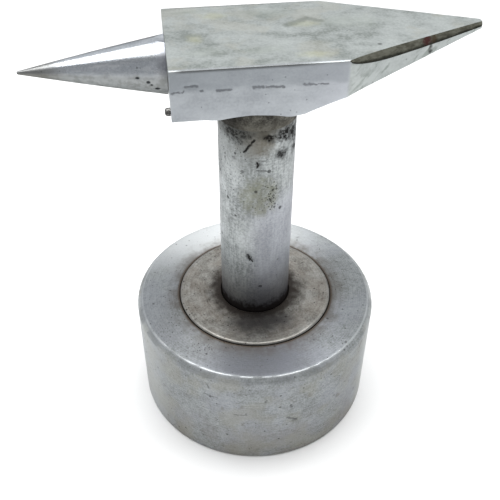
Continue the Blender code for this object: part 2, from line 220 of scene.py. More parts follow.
def bump(value, centre, width):
    """1 at the centre, falling off smoothly over about the width."""
    return math.exp(-(((value - centre) / width) ** 2))


def mark(centre, across, up, depth, dirt):
    """A dent in millimetres: centre, reach across and up, depth, and how dark its dirt is."""
    return (Vector(centre) * MM, across * MM, up * MM, depth * MM, dirt)


def weather(mesh_data, wave, marks=()):
    """Move the surface along its normal by wave(point), and press marks into it.

    How dirty each mark leaves a point is kept in the attribute "dirt".
    """
    far = 2.5
    dirt_layer = mesh_data.verts.layers.float.new("dirt")
    mesh_data.normal_update()
    moves = []
    for vertex in mesh_data.verts:
        offset = wave(vertex.co)
        dirt = 0.0
        for centre, across, up, depth, soil in marks:
            away = vertex.co - centre
            reach = math.hypot(math.hypot(away.x, away.y) / across, away.z / up)
            if reach < far:
                press = math.exp(-reach * reach)
                offset -= depth * press
                dirt = max(dirt, soil * press)
        vertex[dirt_layer] = dirt
        moves.append((vertex, vertex.normal * offset))
    for vertex, move in moves:
        vertex.co += move


def make_piece(name, mesh_data, materials, node, sharp_degrees=32.0):
    """Turn a bmesh into a piece that stands for a CAD node and rides on the root body."""
    mesh = bpy.data.meshes.new(name)
    mesh_data.to_mesh(mesh)
    mesh_data.free()
    mesh.shade_smooth()
    mesh.set_sharp_from_angle(angle=math.radians(sharp_degrees))
    for material in materials:
        mesh.materials.append(material)
    piece = bpy.data.objects.new(name, mesh)
    bpy.context.scene.collection.objects.link(piece)
    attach(piece, "root")
    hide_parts(node)


def helper_object(name, mesh_data):
    """Put a bmesh into the scene for the time of a Boolean."""
    mesh = bpy.data.meshes.new(name)
    mesh_data.to_mesh(mesh)
    mesh_data.free()
    helper = bpy.data.objects.new(name, mesh)
    bpy.context.scene.collection.objects.link(helper)
    return helper


def cut_away(mesh_data, cutters):
    """Subtract closed shapes from a bmesh with exact Booleans and return the result."""
    work = helper_object("work", mesh_data)
    helpers = [helper_object("cutter", cutter) for cutter in cutters]
    for helper in helpers:
        boolean = work.modifiers.new("cut", "BOOLEAN")
        boolean.operation = "DIFFERENCE"
        boolean.solver = "EXACT"
        boolean.object = helper
    evaluated = work.evaluated_get(bpy.context.evaluated_depsgraph_get())
    result = bmesh.new()
    result.from_mesh(evaluated.to_mesh())
    evaluated.to_mesh_clear()
    bmesh.ops.remove_doubles(result, verts=result.verts, dist=WELD_DISTANCE)
    bmesh.ops.triangulate(result, faces=result.faces)
    drop_folded(result)
    for helper in helpers + [work]:
        helper_mesh = helper.data
        bpy.data.objects.remove(helper)
        bpy.data.meshes.remove(helper_mesh)
    return result


def drop_folded(mesh_data):
    """Delete the slivers that a cut leaves: faces folded onto each other, then open ones."""
    groups = {}
    for face in mesh_data.faces:
        groups.setdefault(frozenset(face.verts), []).append(face)
    folded = [face for group in groups.values() if len(group) > 1 for face in group]
    bmesh.ops.delete(mesh_data, geom=folded, context="FACES")
    for sweep in range(SLIVER_SWEEPS):
        loose = [face for face in mesh_data.faces if is_loose(face)]
        bmesh.ops.delete(mesh_data, geom=loose, context="FACES")


def is_loose(face):
    return any(len(edge.link_faces) == 1 for edge in face.edges)


def rod(radius, length, segments, matrix):
    """A plain closed cylinder that cuts a hole, centred on the matrix's origin."""
    cutter = bmesh.new()
    bmesh.ops.create_cone(
        cutter,
        cap_ends=True,
        segments=segments,
        radius1=radius,
        radius2=radius,
        depth=length,
        matrix=matrix,
    )
    return cutter


# ---------------------------------------------------------------- material helpers
NOISE_LOW = 0.27
NOISE_HIGH = 0.73
LINES_DETAIL = 4.0
LINES_START = 0.5
STROKE_GRAIN = 0.6
STROKE_EDGE = (1.5, 0.3)
SHAKE_RATE = 1.1
SHAKE_REACH = 0.8
SPECK_FADE = 0.6
SPECK_WIDTHS = (0.18, 0.42)
SPECK_EDGE = 0.14
SPECULAR_TINT = (0.72, 0.72, 0.73)


class Graph:
    """A shader node tree. Its methods add nodes and return their output sockets."""

    def __init__(self, tree):
        self.tree = tree

    def new(self, kind, values=None, **settings):
        """Add a node with its settings, and fill its sockets from values by name or number."""
        node = self.tree.nodes.new(kind)
        for key, value in settings.items():
            setattr(node, key, value)
        self.fill(node, values or {})
        return node

    def fill(self, node, values):
        for socket, value in values.items():
            self.put(node.inputs[socket], value)

    def put(self, socket, value):
        """Link an output to a socket, or set the socket's own value."""
        if isinstance(value, bpy.types.NodeSocket):
            self.tree.links.new(value, socket)
        elif isinstance(value, tuple) and len(value) == 3 and socket.type == "RGBA":
            socket.default_value = (*value, 1.0)
        else:
            socket.default_value = value

    def math(self, operation, a, b=0.0, third=0.0, clamp=False):
        values = {0: a, 1: b, 2: third}
        node = self.new("ShaderNodeMath", values, operation=operation, use_clamp=clamp)
        return node.outputs[0]

    def add(self, a, b):
        return self.math("ADD", a, b)

    def times(self, first, *others):
        """The product of all the values."""
        result = first
        for value in others:
            result = self.math("MULTIPLY", result, value)
        return result

    def either(self, first, *others):
        """The strongest of several masks."""
        result = first
        for mask in others:
            result = self.math("MAXIMUM", result, mask)
        return result

    def split(self, vector):
        return self.new("ShaderNodeSeparateXYZ", {0: vector}).outputs

    def ease(self, value, low, high, first=0.0, last=1.0):
        """first at low and last at high, with smooth ends. Low may be above high."""
        if low > high:
            low, high, first, last = high, low, last, first
        values = {"Value": value, "From Min": low, "From Max": high, "To Min": first, "To Max": last}
        node = self.new("ShaderNodeMapRange", values, interpolation_type="SMOOTHSTEP")
        return node.outputs[0]


class Paint(Graph):
    """One material. Positions are in millimetres, and the colour is laid on coat by coat."""

    def __init__(self, name, metallic=1.0):
        self.material = bpy.data.materials.new(name)
        self.material.use_nodes = True
        super().__init__(self.material.node_tree)
        self.shader = self.tree.nodes["Principled BSDF"]
        self.fill(self.shader, {"Metallic": metallic, "Specular Tint": SPECULAR_TINT})
        place = self.new("ShaderNodeTexCoord").outputs["Object"]
        self.place = self.vector("SCALE", place, 1.0 / MM)
        self.x, self.y, self.z = self.split(self.place)
        squares = self.add(self.times(self.x, self.x), self.times(self.y, self.y))
        self.radius = self.math("SQRT", squares)
        self.shaken_place = None
        self.colour = None

    def vector(self, operation, a, b=(0.0, 0.0, 0.0)):
        values = {0: a, "Scale" if operation == "SCALE" else 1: b}
        node = self.new("ShaderNodeVectorMath", values, operation=operation)
        number = operation in ("LENGTH", "DOT_PRODUCT")
        return node.outputs["Value"] if number else node.outputs[0]

    def spread(self, value, low, high):
        """Turn 0..1 into low..high."""
        values = {"Value": value, "To Min": low, "To Max": high}
        return self.new("ShaderNodeMapRange", values).outputs[0]

    def scaled(self, place, factors, shift):
        """A position multiplied and shifted along each axis."""
        values = {0: place, 1: factors, 2: shift}
        return self.new("ShaderNodeVectorMath", values, operation="MULTIPLY_ADD").outputs[0]

    def grain(self, size, detail=3.0, stretch=(1.0, 1.0, 1.0), place=None, seed=0.0, rough=0.55):
        """Noise from 0 to 1 with features of size millimetres, longer where stretch is above 1."""
        factors = tuple(1.0 / (size * s) for s in stretch)
        shift = (seed, seed * 0.7, -seed * 1.3)
        place = self.scaled(place or self.place, factors, shift)
        values = {"Vector": place, "Scale": 1.0, "Detail": detail, "Roughness": rough}
        return self.new("ShaderNodeTexNoise", values, noise_dimensions="3D").outputs[0]

    def wide(self, noise_value):
        """Spread Blender's noise, which stays close to the middle, over 0 to 1."""
        return self.ease(noise_value, NOISE_LOW, NOISE_HIGH)

    def cloudy(self, size, **options):
        """Noise spread over 0 to 1."""
        return self.wide(self.grain(size, **options))

    def patches(self, size, low, high, first=0.0, last=1.0, **options):
        """Noise turned into patches: first where it is under low, last where it is over high."""
        return self.ease(self.grain(size, **options), low, high, first, last)

    def shifted(self, value, noise_value, reach):
        """A value moved to and fro with noise, by reach from end to end."""
        return self.add(value, self.times(self.add(noise_value, -0.5), reach))

    def jitter(self, value, reach, size, seed, **options):
        """A value moved to and fro with noise of its own."""
        return self.shifted(value, self.grain(size, seed=seed, **options), reach)

    def lines(self, along, size):
        """Noise that changes only with one value, as turning marks do."""
        turns = self.math("MULTIPLY_ADD", along, 1.0 / size, third=LINES_START)
        values = {"W": turns, "Scale": 1.0, "Detail": LINES_DETAIL}
        return self.new("ShaderNodeTexNoise", values, noise_dimensions="1D").outputs[0]

    def specks(self, size, share, seed=0.0):
        """1 inside small scattered dots, a share of the cells of a Voronoi pattern."""
        place = self.scaled(self.place, (1.0 / size,) * 3, (seed, -seed, seed * 0.5))
        node = self.new("ShaderNodeTexVoronoi", {"Vector": place, "Scale": 1.0}, feature="F1")
        random = self.new("ShaderNodeSeparateColor", {0: node.outputs["Color"]}).outputs
        chosen = self.ease(random[0], share, share * SPECK_FADE)
        width = self.spread(random[1], *SPECK_WIDTHS)
        inside = self.math("SUBTRACT", width, node.outputs["Distance"])
        return self.times(self.ease(inside, 0.0, SPECK_EDGE), chosen)

    def spot(self, centre, radii, soft=0.35, ragged=0.5, size=1.0):
        """1 inside an ellipsoid around a point, with an edge broken up by noise."""
        away = self.vector("SUBTRACT", self.place, tuple(centre))
        reach = self.vector("LENGTH", self.vector("DIVIDE", away, tuple(radii)))
        reach = self.jitter(reach, ragged * 2.0, size, sum(centre))
        return self.ease(reach, 1.0 + soft, 1.0 - soft)

    def spots(self, *rows):
        return self.either(*(self.spot(*row) for row in rows))

    def shaken(self):
        """The position moved about by fine noise, for marks that are never quite straight."""
        if self.shaken_place is None:
            values = {"Vector": self.place, "Scale": SHAKE_RATE, "Detail": 2.0}
            node = self.new("ShaderNodeTexNoise", values, noise_dimensions="3D")
            shift = self.vector("SUBTRACT", node.outputs["Color"], (0.5, 0.5, 0.5))
            shift = self.vector("SCALE", shift, SHAKE_REACH)
            self.shaken_place = self.vector("ADD", self.place, shift)
        return self.shaken_place

    def stroke(self, start, end, width, ragged=0.5, strength=1.0):
        """A wavering line between two points, with an edge broken up by noise."""
        start = Vector(start)
        run = Vector(end) - start
        away = self.vector("SUBTRACT", self.shaken(), tuple(start))
        along = self.vector("DOT_PRODUCT", away, tuple(run / run.length_squared))
        nearest = self.vector("SCALE", tuple(run), self.math("ADD", along, clamp=True))
        reach = self.vector("LENGTH", self.vector("SUBTRACT", away, nearest))
        reach = self.times(reach, 1.0 / width)
        reach = self.jitter(reach, ragged * 2.0, STROKE_GRAIN, start.x + start.z)
        return self.ease(reach, *STROKE_EDGE, 0.0, strength)

    def strokes(self, *rows):
        return self.either(*(self.stroke(*row) for row in rows))

    def weigh(self, first, *others):
        """The sum of (value, weight) pairs."""
        total = self.times(*first)
        for value, weight in others:
            total = self.math("MULTIPLY_ADD", value, weight, third=total)
        return total

    def slanted(self, axis, angle):
        """The position turned about an axis, so that marks run at a slant."""
        values = {"Vector": self.place, "Angle": angle}
        return self.new("ShaderNodeVectorRotate", values, rotation_type=axis).outputs[0]

    def mix(self, share, a, b):
        """Mix two colours."""
        values = {"Factor": share, 6: a, 7: b}
        return self.new("ShaderNodeMix", values, data_type="RGBA", blend_type="MIX").outputs[2]

    def blend(self, share, a, b):
        """Mix two numbers."""
        values = {"Factor": share, 2: a, 3: b}
        return self.new("ShaderNodeMix", values, data_type="FLOAT").outputs[0]

    def attribute(self, name):
        return self.new("ShaderNodeAttribute", attribute_name=name).outputs["Fac"]

    def undercoat(self, value, *stops):
        """Start the colour from a ramp through (position, colour) stops."""
        node = self.new("ShaderNodeValToRGB", {0: value})
        elements = node.color_ramp.elements
        while len(elements) < len(stops):
            elements.new(0.5)
        for element, (position, colour) in zip(elements, stops):
            element.position = position
            element.color = (*colour, 1.0)
        self.colour = node.outputs[0]

    def coat(self, colour, *masks):
        """Lay a colour over the ones before, as strongly as the product of the masks."""
        self.colour = self.mix(self.times(*masks), self.colour, colour)

    def finish(self, roughness, height, depth):
        """Set the colour, roughness and bump. height is 0..1 and depth its size in millimetres."""
        values = {"Strength": 1.0, "Distance": depth * MM, "Height": height}
        normal = self.new("ShaderNodeBump", values).outputs[0]
        values = {"Base Color": self.colour, "Roughness": roughness, "Normal": normal}
        self.fill(self.shader, values)
        return self.material

    def turned(self, amount):
        """Stretch the highlights across marks that run round the Z axis."""
        quarter = 0.25
        tangent = self.new("ShaderNodeTangent", direction_type="RADIAL", axis="Z").outputs[0]
        values = {"Anisotropic": amount, "Anisotropic Rotation": quarter, "Tangent": tangent}
        self.fill(self.shader, values)


# ---------------------------------------------------------------- metals
BRIGHT = (0.43, 0.45, 0.46)
STEEL = (0.31, 0.33, 0.335)
DULL = (0.19, 0.20, 0.20)
BROWN = (0.085, 0.065, 0.048)
LILAC = (0.35, 0.365, 0.405)
SOOT = (0.014, 0.013, 0.012)

BASE_GREY = (0.24, 0.25, 0.252)
BASE_BACK_HIGHLIGHT = (0.60, 0.62, 0.625)
BASE_FRONT_SHADE = (0.160, 0.165, 0.19)
BASE_STAIN = (0.24, 0.215, 0.185)
BASE_WARM = (0.30, 0.295, 0.245)
BASE_SIDE_HIGHLIGHT = (0.55, 0.57, 0.56)
BASE_RUST = (0.15, 0.125, 0.10)
GROOVE_GRIME_AND_SHADE = (0.115, 0.10, 0.085)
THIN_GRIME = (0.15, 0.145, 0.13)
RIM_HIGHLIGHT = (0.52, 0.54, 0.55)
RIM_UNDER_SHADE = (0.17, 0.18, 0.185)
SCRATCH = (0.10, 0.105, 0.11)

# Scratches on the base's side: start, end, width, raggedness.
BASE_SCRATCHES = (
    ((-15.0, -26.0, 26.3), (-14.6, -26.2, 25.2), 0.22),
    ((-15.8, -25.5, 22.6), (-12.8, -27.1, 22.2), 0.20, 0.9),
    ((3.6, -29.8, 15.2), (6.0, -29.4, 13.6), 0.30, 0.8),
    ((4.4, -29.7, 19.9), (4.8, -29.6, 19.0), 0.24),
    ((-9.0, -28.6, 17.0), (-6.0, -29.4, 17.4), 0.16, 0.9),
)
# Grime on the base's top: centre, radii, softness, raggedness, size of the grain.
BASE_GRIME = (
    ((-20.5, -9.0, 29.0), (4.5, 8.0, 4.0), 0.8, 0.9, 2.5),
    ((-13.0, -18.0, 29.0), (7.0, 4.0, 4.0), 0.8, 0.9, 2.5),
    ((21.5, 2.0, 29.0), (3.5, 8.0, 4.0), 0.8, 0.9, 2.5),
)


def turned_base_metal():
    """Satin turned steel: rings on top, blotches on the side, grime at the groove that also stands
    in as painted shade round the post, brown stains, and painted light: a highlight at the back of
    the top, shade at its front, a highlight on the rim with shade below it, and highlights at the
    side's left and right.
    """
    paint = Paint("turned_base_steel")
    top = BASE_TOP / MM
    on_top = paint.ease(paint.z, top - 1.0, top - 0.1)
    rings = paint.wide(paint.lines(paint.blend(on_top, paint.z, paint.radius), 0.40))
    cloud = paint.cloudy(6.0, detail=4.0)
    blotch = paint.cloudy(1.8, detail=4.0, seed=6.0)
    grit = paint.cloudy(0.42, detail=2.0)
    tone = paint.weigh((rings, 0.22), (cloud, 0.18), (blotch, 0.20), (grit, 0.40))
    paint.undercoat(tone, (0.18, DULL), (0.5, STEEL), (0.84, BRIGHT))
    paint.coat(BASE_GREY, paint.blend(on_top, 0.5, 0.40), 0.5)
    paint.coat(LILAC, paint.patches(11.0, 0.42, 0.60, detail=2.0, seed=12.0), 0.35)

    # Painted highlight: the back of the top, towards the left, is lightened.
    back_highlight = paint.times(paint.ease(paint.y, 4.0, 21.0), paint.ease(paint.x, 32.0, -2.0))
    paint.coat(BASE_BACK_HIGHLIGHT, back_highlight, on_top, 0.85)
    # Painted shade: the front of the top is darkened, where the post and head are reflected.
    front_shade = paint.times(
        paint.ease(paint.jitter(paint.y, 12.0, 6.0, 19.0), -8.0, -20.0),
        paint.ease(paint.radius, 29.0, 28.0),
        paint.ease(paint.x, 17.0, 5.0, 0.25, 1.0),
        paint.ease(paint.x, -18.0, -8.0, 0.45, 1.0),
    )
    paint.coat(BASE_FRONT_SHADE, front_shade, on_top, 0.72)

    side = paint.math("SUBTRACT", 1.0, on_top)
    cleanish = paint.patches(8.0, 0.66, 0.34, detail=5.0, seed=3.0)
    stain = paint.times(paint.ease(paint.z, 20.0, -2.0), cleanish, 0.50, side)
    paint.coat(BASE_STAIN, stain)
    paint.coat(BASE_WARM, paint.patches(7.5, 0.44, 0.62, detail=4.0, seed=33.0), side, 0.40)
    # Painted highlight: the side is lightened towards its left and right ends, more on the right.
    side_highlight = paint.ease(paint.math("ABSOLUTE", paint.x), 22.0, 29.5)
    paint.coat(BASE_SIDE_HIGHLIGHT, side_highlight, side, paint.ease(paint.x, -10.0, 10.0, 0.42, 0.85))
    rust = paint.times(paint.patches(2.2, 0.58, 0.74, detail=5.0, seed=14.0), side)
    paint.coat(BASE_RUST, rust, 0.30)

    # Grime round the groove; the band also stands in as painted shade round the post.
    reach = paint.jitter(paint.radius, 5.0, 2.4, 8.0)
    smear = paint.patches(4.2, 0.34, 0.56, detail=4.0, seed=9.0)
    groove = paint.times(paint.ease(reach, 24.5, 19.0), on_top, paint.spread(smear, 0.35, 1.0))
    paint.coat(GROOVE_GRIME_AND_SHADE, groove, 0.72)
    grime = paint.times(paint.spots(*BASE_GRIME), on_top)
    paint.coat(THIN_GRIME, grime, 0.20)
    paint.coat(SOOT, paint.specks(0.55, 0.6, 31.0), grime, 0.70)
    paint.coat(BROWN, paint.ease(paint.radius, 20.1, 19.5), on_top, 0.85)
    # Painted highlight: a light line along the rim's chamfer.
    rim_highlight = paint.times(
        paint.ease(paint.radius, 28.3, 28.7),
        paint.ease(paint.z, top - 0.40, top - 0.1),
        paint.patches(4.5, 0.30, 0.62, 0.25, 1.0, seed=25.0),
    )
    paint.coat(RIM_HIGHLIGHT, rim_highlight, 0.55)
    # Painted shade: a darker band on the side just below the rim.
    below = paint.times(paint.ease(paint.radius, 28.8, 29.3), paint.ease(paint.z, 28.3, 28.8))
    paint.coat(RIM_UNDER_SHADE, below, paint.patches(7.0, 0.42, 0.60, seed=27.0), 0.5)
    dots = paint.either(paint.specks(0.9, 0.07, 2.0), paint.specks(0.5, 0.10, 21.0))
    paint.coat(SOOT, dots, 0.55)
    paint.coat(SCRATCH, paint.strokes(*BASE_SCRATCHES), 0.7)
    paint.coat(SOOT, paint.attribute("dirt"))
    roughness = paint.spread(tone, 0.47, 0.32)
    roughness = paint.blend(paint.either(stain, groove, dots, rust), roughness, 0.55)
    roughness = paint.blend(rim_highlight, roughness, 0.34)
    height = paint.weigh((rings, 0.4), (grit, 0.5), (dots, -0.8), (blotch, 0.2))
    paint.turned(0.80)
    return paint.finish(roughness, height, 0.022)


DISC_DARK = (0.12, 0.113, 0.102)
DISC_MIDDLE = (0.222, 0.217, 0.20)
DISC_LIGHT = (0.31, 0.307, 0.29)
DISC_WARM = (0.23, 0.20, 0.17)
DISC_GRIME_AND_SHADE = (0.026, 0.021, 0.018)
DISC_FRONT_SHADE = (0.050, 0.047, 0.047)
DISC_RIM_HIGHLIGHT = (0.27, 0.265, 0.25)


def foot_disc_metal():
    """Duller warm steel with faint rings, fine dark specks, grime and painted shade close to the
    post, painted shade in front of it, and a painted highlight on the rim.
    """
    paint = Paint("foot_disc_steel")
    rings = paint.lines(paint.radius, 0.5)
    cloud = paint.cloudy(3.0, detail=5.0, seed=1.0)
    grit = paint.cloudy(0.45, seed=5.0)
    tone = paint.weigh((rings, 0.30), (cloud, 0.40), (grit, 0.30))
    paint.undercoat(tone, (0.20, DISC_DARK), (0.50, DISC_MIDDLE), (0.80, DISC_LIGHT))
    paint.coat(DISC_WARM, paint.patches(5.0, 0.42, 0.62, seed=15.0), 0.30)
    # Grime and painted shade close to the post's foot.
    halo = paint.jitter(paint.radius, 5.0, 1.8, 9.0)
    paint.coat(DISC_GRIME_AND_SHADE, paint.ease(halo, 13.6, 9.4), 0.93)
    # Painted shade on the disc in front of the post.
    middle = paint.ease(paint.math("ABSOLUTE", paint.x), 12.0, 5.0)
    ahead = paint.times(paint.ease(paint.y, -8.0, -12.0), middle)
    paint.coat(DISC_FRONT_SHADE, ahead, paint.ease(halo, 19.0, 12.5), 0.90)
    # Painted highlight: the rim is lightened.
    rim = paint.ease(paint.radius, 18.1, 18.6)
    paint.coat(DISC_RIM_HIGHLIGHT, rim, 0.35)
    paint.coat(SOOT, paint.ease(paint.z, DISC_TOP / MM - 0.25, DISC_TOP / MM - 0.6))
    dots = paint.either(paint.specks(1.0, 0.14), paint.specks(0.6, 0.16, 7.0))
    paint.coat(SOOT, dots, 0.7)
    roughness = paint.blend(rim, paint.spread(tone, 0.58, 0.42), 0.38)
    height = paint.weigh((grit, 0.6), (rings, 0.3), (dots, -0.9))
    paint.turned(0.45)
    return paint.finish(roughness, height, 0.024)


def on_post(degrees, height):
    """A point on the post's surface in millimetres."""
    angle = math.radians(degrees)
    return (POST_RADIUS / MM * math.cos(angle), POST_RADIUS / MM * math.sin(angle), height)


POST_DULL = (0.225, 0.24, 0.238)
POST_MIDDLE = (0.365, 0.385, 0.385)
POST_BRIGHT = (0.50, 0.525, 0.53)
POST_COOL = (0.37, 0.38, 0.43)
POST_OLIVE = (0.30, 0.305, 0.22)
POST_BROWN = (0.120, 0.104, 0.074)
POST_TOP_GRIME_AND_SHADE = (0.100, 0.094, 0.078)
POST_SHADE = (0.19, 0.20, 0.195)
POST_FOOT_SHADE = (0.13, 0.125, 0.14)
POST_TOE = (0.024, 0.018, 0.016)

# Dark marks on the post: place, radii, softness, raggedness, size of the grain.
POST_BAND = (
    (on_post(-44.0, 80.2), (3.6, 4.0, 1.7), 0.5, 0.8, 0.9),
    (on_post(-80.0, 80.4), (1.5, 1.5, 0.7), 0.5, 0.8, 0.7),
    (on_post(-28.0, 78.2), (1.6, 2.0, 1.4), 0.6, 0.9, 0.7),
)
POST_SMUDGES_AND_SHADE = (
    (on_post(-60.0, 75.8), (1.5, 1.5, 1.3), 0.6, 0.9, 0.6),
    (on_post(-28.0, 75.6), (1.4, 1.4, 1.2), 0.7, 0.9, 0.6),
    # The third, high on the left, is painted shade under the head's front edge.
    (on_post(-131.0, 81.2), (3.4, 3.4, 2.2), 0.6, 0.9, 1.1),
)
# Black strokes on the post: start, end, width, raggedness, strength.
POST_STROKES = (
    (on_post(-116.0, 77.2), on_post(-102.0, 80.2), 0.30),
    (on_post(-112.0, 83.3), on_post(-86.0, 82.3), 0.26),
    (on_post(-97.5, 74.6), on_post(-97.0, 73.4), 0.26),
    (on_post(-98.0, 72.7), on_post(-84.0, 72.5), 0.20, 0.5, 0.55),
    (on_post(-95.0, 75.0), on_post(-84.0, 75.2), 0.16, 0.5, 0.40),
    (on_post(-111.0, 48.9), on_post(-107.0, 47.8), 0.26),
    (on_post(-107.0, 47.8), on_post(-103.0, 47.0), 0.17),
    (on_post(-104.5, 48.4), on_post(-108.0, 47.4), 0.15),
)


def post_metal():
    """Drawn bar with fine upright streaks, pits, a top darkened by grime and painted shade under the
    head, a stained patch, and a dark foot: painted shade and a black line at the joint.
    """
    paint = Paint("post_steel")
    streaks = paint.cloudy(0.5, stretch=(1.0, 1.0, 8.0))
    cloud = paint.cloudy(4.0, detail=5.0, stretch=(1.0, 1.0, 1.6), seed=2.0)
    grit = paint.cloudy(0.42, stretch=(1.3, 1.3, 1.0), seed=6.0)
    tone = paint.weigh((streaks, 0.22), (cloud, 0.42), (grit, 0.36))
    paint.undercoat(tone, (0.18, POST_DULL), (0.5, POST_MIDDLE), (0.82, POST_BRIGHT))
    paint.coat(POST_COOL, paint.ease(paint.x, -4.5, 1.0), paint.ease(paint.z, 69.0, 60.0), 0.55)

    patch = paint.spot(on_post(-93.0, 65.6), (4.0, 5.0, 5.0), 0.30, 0.40, 1.6)
    uneven = paint.patches(1.1, 0.35, 0.62, detail=4.0, seed=33.0)
    patch = paint.times(patch, paint.spread(uneven, 0.45, 1.0))
    paint.coat(POST_OLIVE, patch, 0.55)
    paint.coat(POST_BROWN, paint.spot(on_post(-99.0, 80.2), (3.8, 4.2, 3.8), 0.5, 0.7, 1.6), 0.78)
    # Grime and painted shade at the top of the post, under the head.
    top_grime_and_shade = paint.ease(paint.jitter(paint.z, 5.0, 1.6, 4.0), 78.8, 82.2)
    top_grime_and_shade = paint.times(top_grime_and_shade, paint.ease(paint.x, 7.0, 1.0, 0.5, 1.0))
    paint.coat(POST_TOP_GRIME_AND_SHADE, top_grime_and_shade, 0.80)
    leftward = paint.ease(paint.x, 1.0, -5.0)
    paint.coat(POST_SHADE, leftward, paint.ease(paint.z, 66.0, 78.0), 0.60)

    pits = paint.patches(0.75, 0.44, 0.52, seed=17.0)
    band = paint.times(paint.spots(*POST_BAND), paint.spread(pits, 0.15, 1.0))
    # Smudges, with painted shade high on the left under the head.
    smudge_and_shade = paint.times(paint.spots(*POST_SMUDGES_AND_SHADE), paint.spread(pits, 0.55, 0.92))
    black = paint.either(band, smudge_and_shade, paint.strokes(*POST_STROKES))
    paint.coat(SOOT, black, 0.95)

    foot = paint.jitter(paint.z, 4.0, 2.4, 11.0)
    # Painted shade: the post is darker towards the foot.
    paint.coat(POST_FOOT_SHADE, paint.ease(foot, 47.0, 32.0), 0.58)
    toe = paint.ease(paint.jitter(foot, 3.2, 0.9, 41.0, detail=4.0), 34.6, 31.6)
    paint.coat(POST_TOE, toe, 0.93)

    field = paint.either(paint.times(leftward, paint.ease(paint.z, 56.0, 68.0)), patch)
    fine = paint.times(paint.specks(0.50, 0.42), paint.spread(field, 0.22, 1.0))
    coarse = paint.times(paint.specks(1.4, 0.10, 3.0), 0.8)
    dense = paint.either(paint.specks(0.62, 1.6, 5.0), paint.specks(0.85, 1.6, 8.0))
    right_patch = paint.spot(on_post(-77.0, 65.8), (1.9, 2.6, 4.2), 0.5, 0.5, 0.8)
    dots = paint.either(fine, coarse, paint.times(dense, right_patch, 0.95))
    paint.coat(SOOT, dots, 0.80)
    paint.coat(SOOT, paint.attribute("dirt"))
    roughness = paint.spread(tone, 0.50, 0.36)
    roughness = paint.blend(paint.either(black, dots, toe, patch, top_grime_and_shade), roughness, 0.62)
    height = paint.weigh((streaks, 0.3), (grit, 0.6), (dots, -1.0), (black, -1.2))
    return paint.finish(roughness, height, 0.03)


def face_point(x, y):
    return (x, y, HEAD_TOP / MM)


HEAD_GREY = (0.225, 0.245, 0.232)
HEAD_MIDDLE = (0.37, 0.395, 0.385)
HEAD_PALE = (0.47, 0.50, 0.485)
FACE_YELLOW = (0.42, 0.41, 0.35)
FACE_STAIN = (0.30, 0.30, 0.20)
FACE_ARCH = (0.135, 0.15, 0.125)
FACE_MOTTLE = (0.205, 0.225, 0.205)
FRONT_BLUE = (0.42, 0.44, 0.485)
FRONT_RIGHT = (0.53, 0.55, 0.59)
FRONT_UPPER = (0.20, 0.22, 0.24)
FRONT_CORNER = (0.18, 0.20, 0.215)
FRONT_LEFT = (0.31, 0.33, 0.35)
FRONT_DASH = (0.05, 0.052, 0.06)
BEAK_SIDE = (0.50, 0.53, 0.525)
BEAK_SMEAR = (0.21, 0.24, 0.215)
BEAK_NOTCH = (0.04, 0.04, 0.035)
EDGE_SHADE = (0.13, 0.135, 0.135)
EDGE_HIGHLIGHT = (0.42, 0.44, 0.445)
FRONT_Y = -HEAD_SIDE / MM

# Marks on the face: place, radii, softness, raggedness, size of the grain.
FACE_STAINS = (
    (face_point(9.8, 3.0), (2.6, 1.4, 2.0), 0.6, 0.7, 1.4),
    (face_point(-12.5, -1.4), (1.4, 1.8, 2.0), 0.7, 0.8, 1.2),
    (face_point(-7.7, 8.9), (2.4, 1.6, 2.0), 0.7, 0.8, 1.2),
    (face_point(9.1, -10.4), (2.8, 1.2, 2.0), 0.7, 0.9, 1.3),
)
FACE_MOTTLES = (
    (face_point(-12.6, 0.2), (0.9, 0.6, 1.0), 0.6, 0.8, 0.8),
    (face_point(-11.0, -7.0), (3.0, 1.6, 2.0), 0.7, 0.9, 1.6),
    (face_point(-0.4, -7.5), (4.0, 1.5, 2.0), 0.7, 0.9, 1.6),
    (face_point(-12.3, 11.5), (3.6, 0.9, 2.0), 0.6, 0.7, 1.4),
    (face_point(18.0, 3.0), (7.0, 3.0, 2.0), 0.7, 0.9, 2.0),
    (face_point(3.0, 9.0), (5.0, 2.0, 2.0), 0.7, 0.9, 1.8),
)
# Strokes on the head: start, end, width, raggedness.
FACE_ARCHES = (
    (face_point(6.2, 2.6), face_point(10.6, 5.4), 1.0, 0.3),
    (face_point(10.6, 5.4), face_point(13.2, 3.9), 0.8, 0.3),
)
FRONT_DASHES = (
    ((-15.3, FRONT_Y, 96.1), (-13.2, FRONT_Y, 96.15), 0.30),
    ((-17.9, FRONT_Y, 95.0), (-15.6, FRONT_Y, 95.15), 0.20, 0.8),
    ((-12.6, FRONT_Y, 95.1), (-12.3, FRONT_Y, 95.1), 0.26, 0.9),
    ((-9.6, FRONT_Y, 95.0), (-7.0, FRONT_Y, 95.05), 0.28),
    ((-2.8, FRONT_Y, 95.2), (-1.2, FRONT_Y, 95.15), 0.34),
    ((-0.6, FRONT_Y, 95.1), (2.8, FRONT_Y, 94.95), 0.28, 0.8),
    ((6.6, FRONT_Y, 95.15), (7.8, FRONT_Y, 95.1), 0.30),
    ((8.0, FRONT_Y, 95.1), (11.2, FRONT_Y, 94.9), 0.22, 0.8),
)


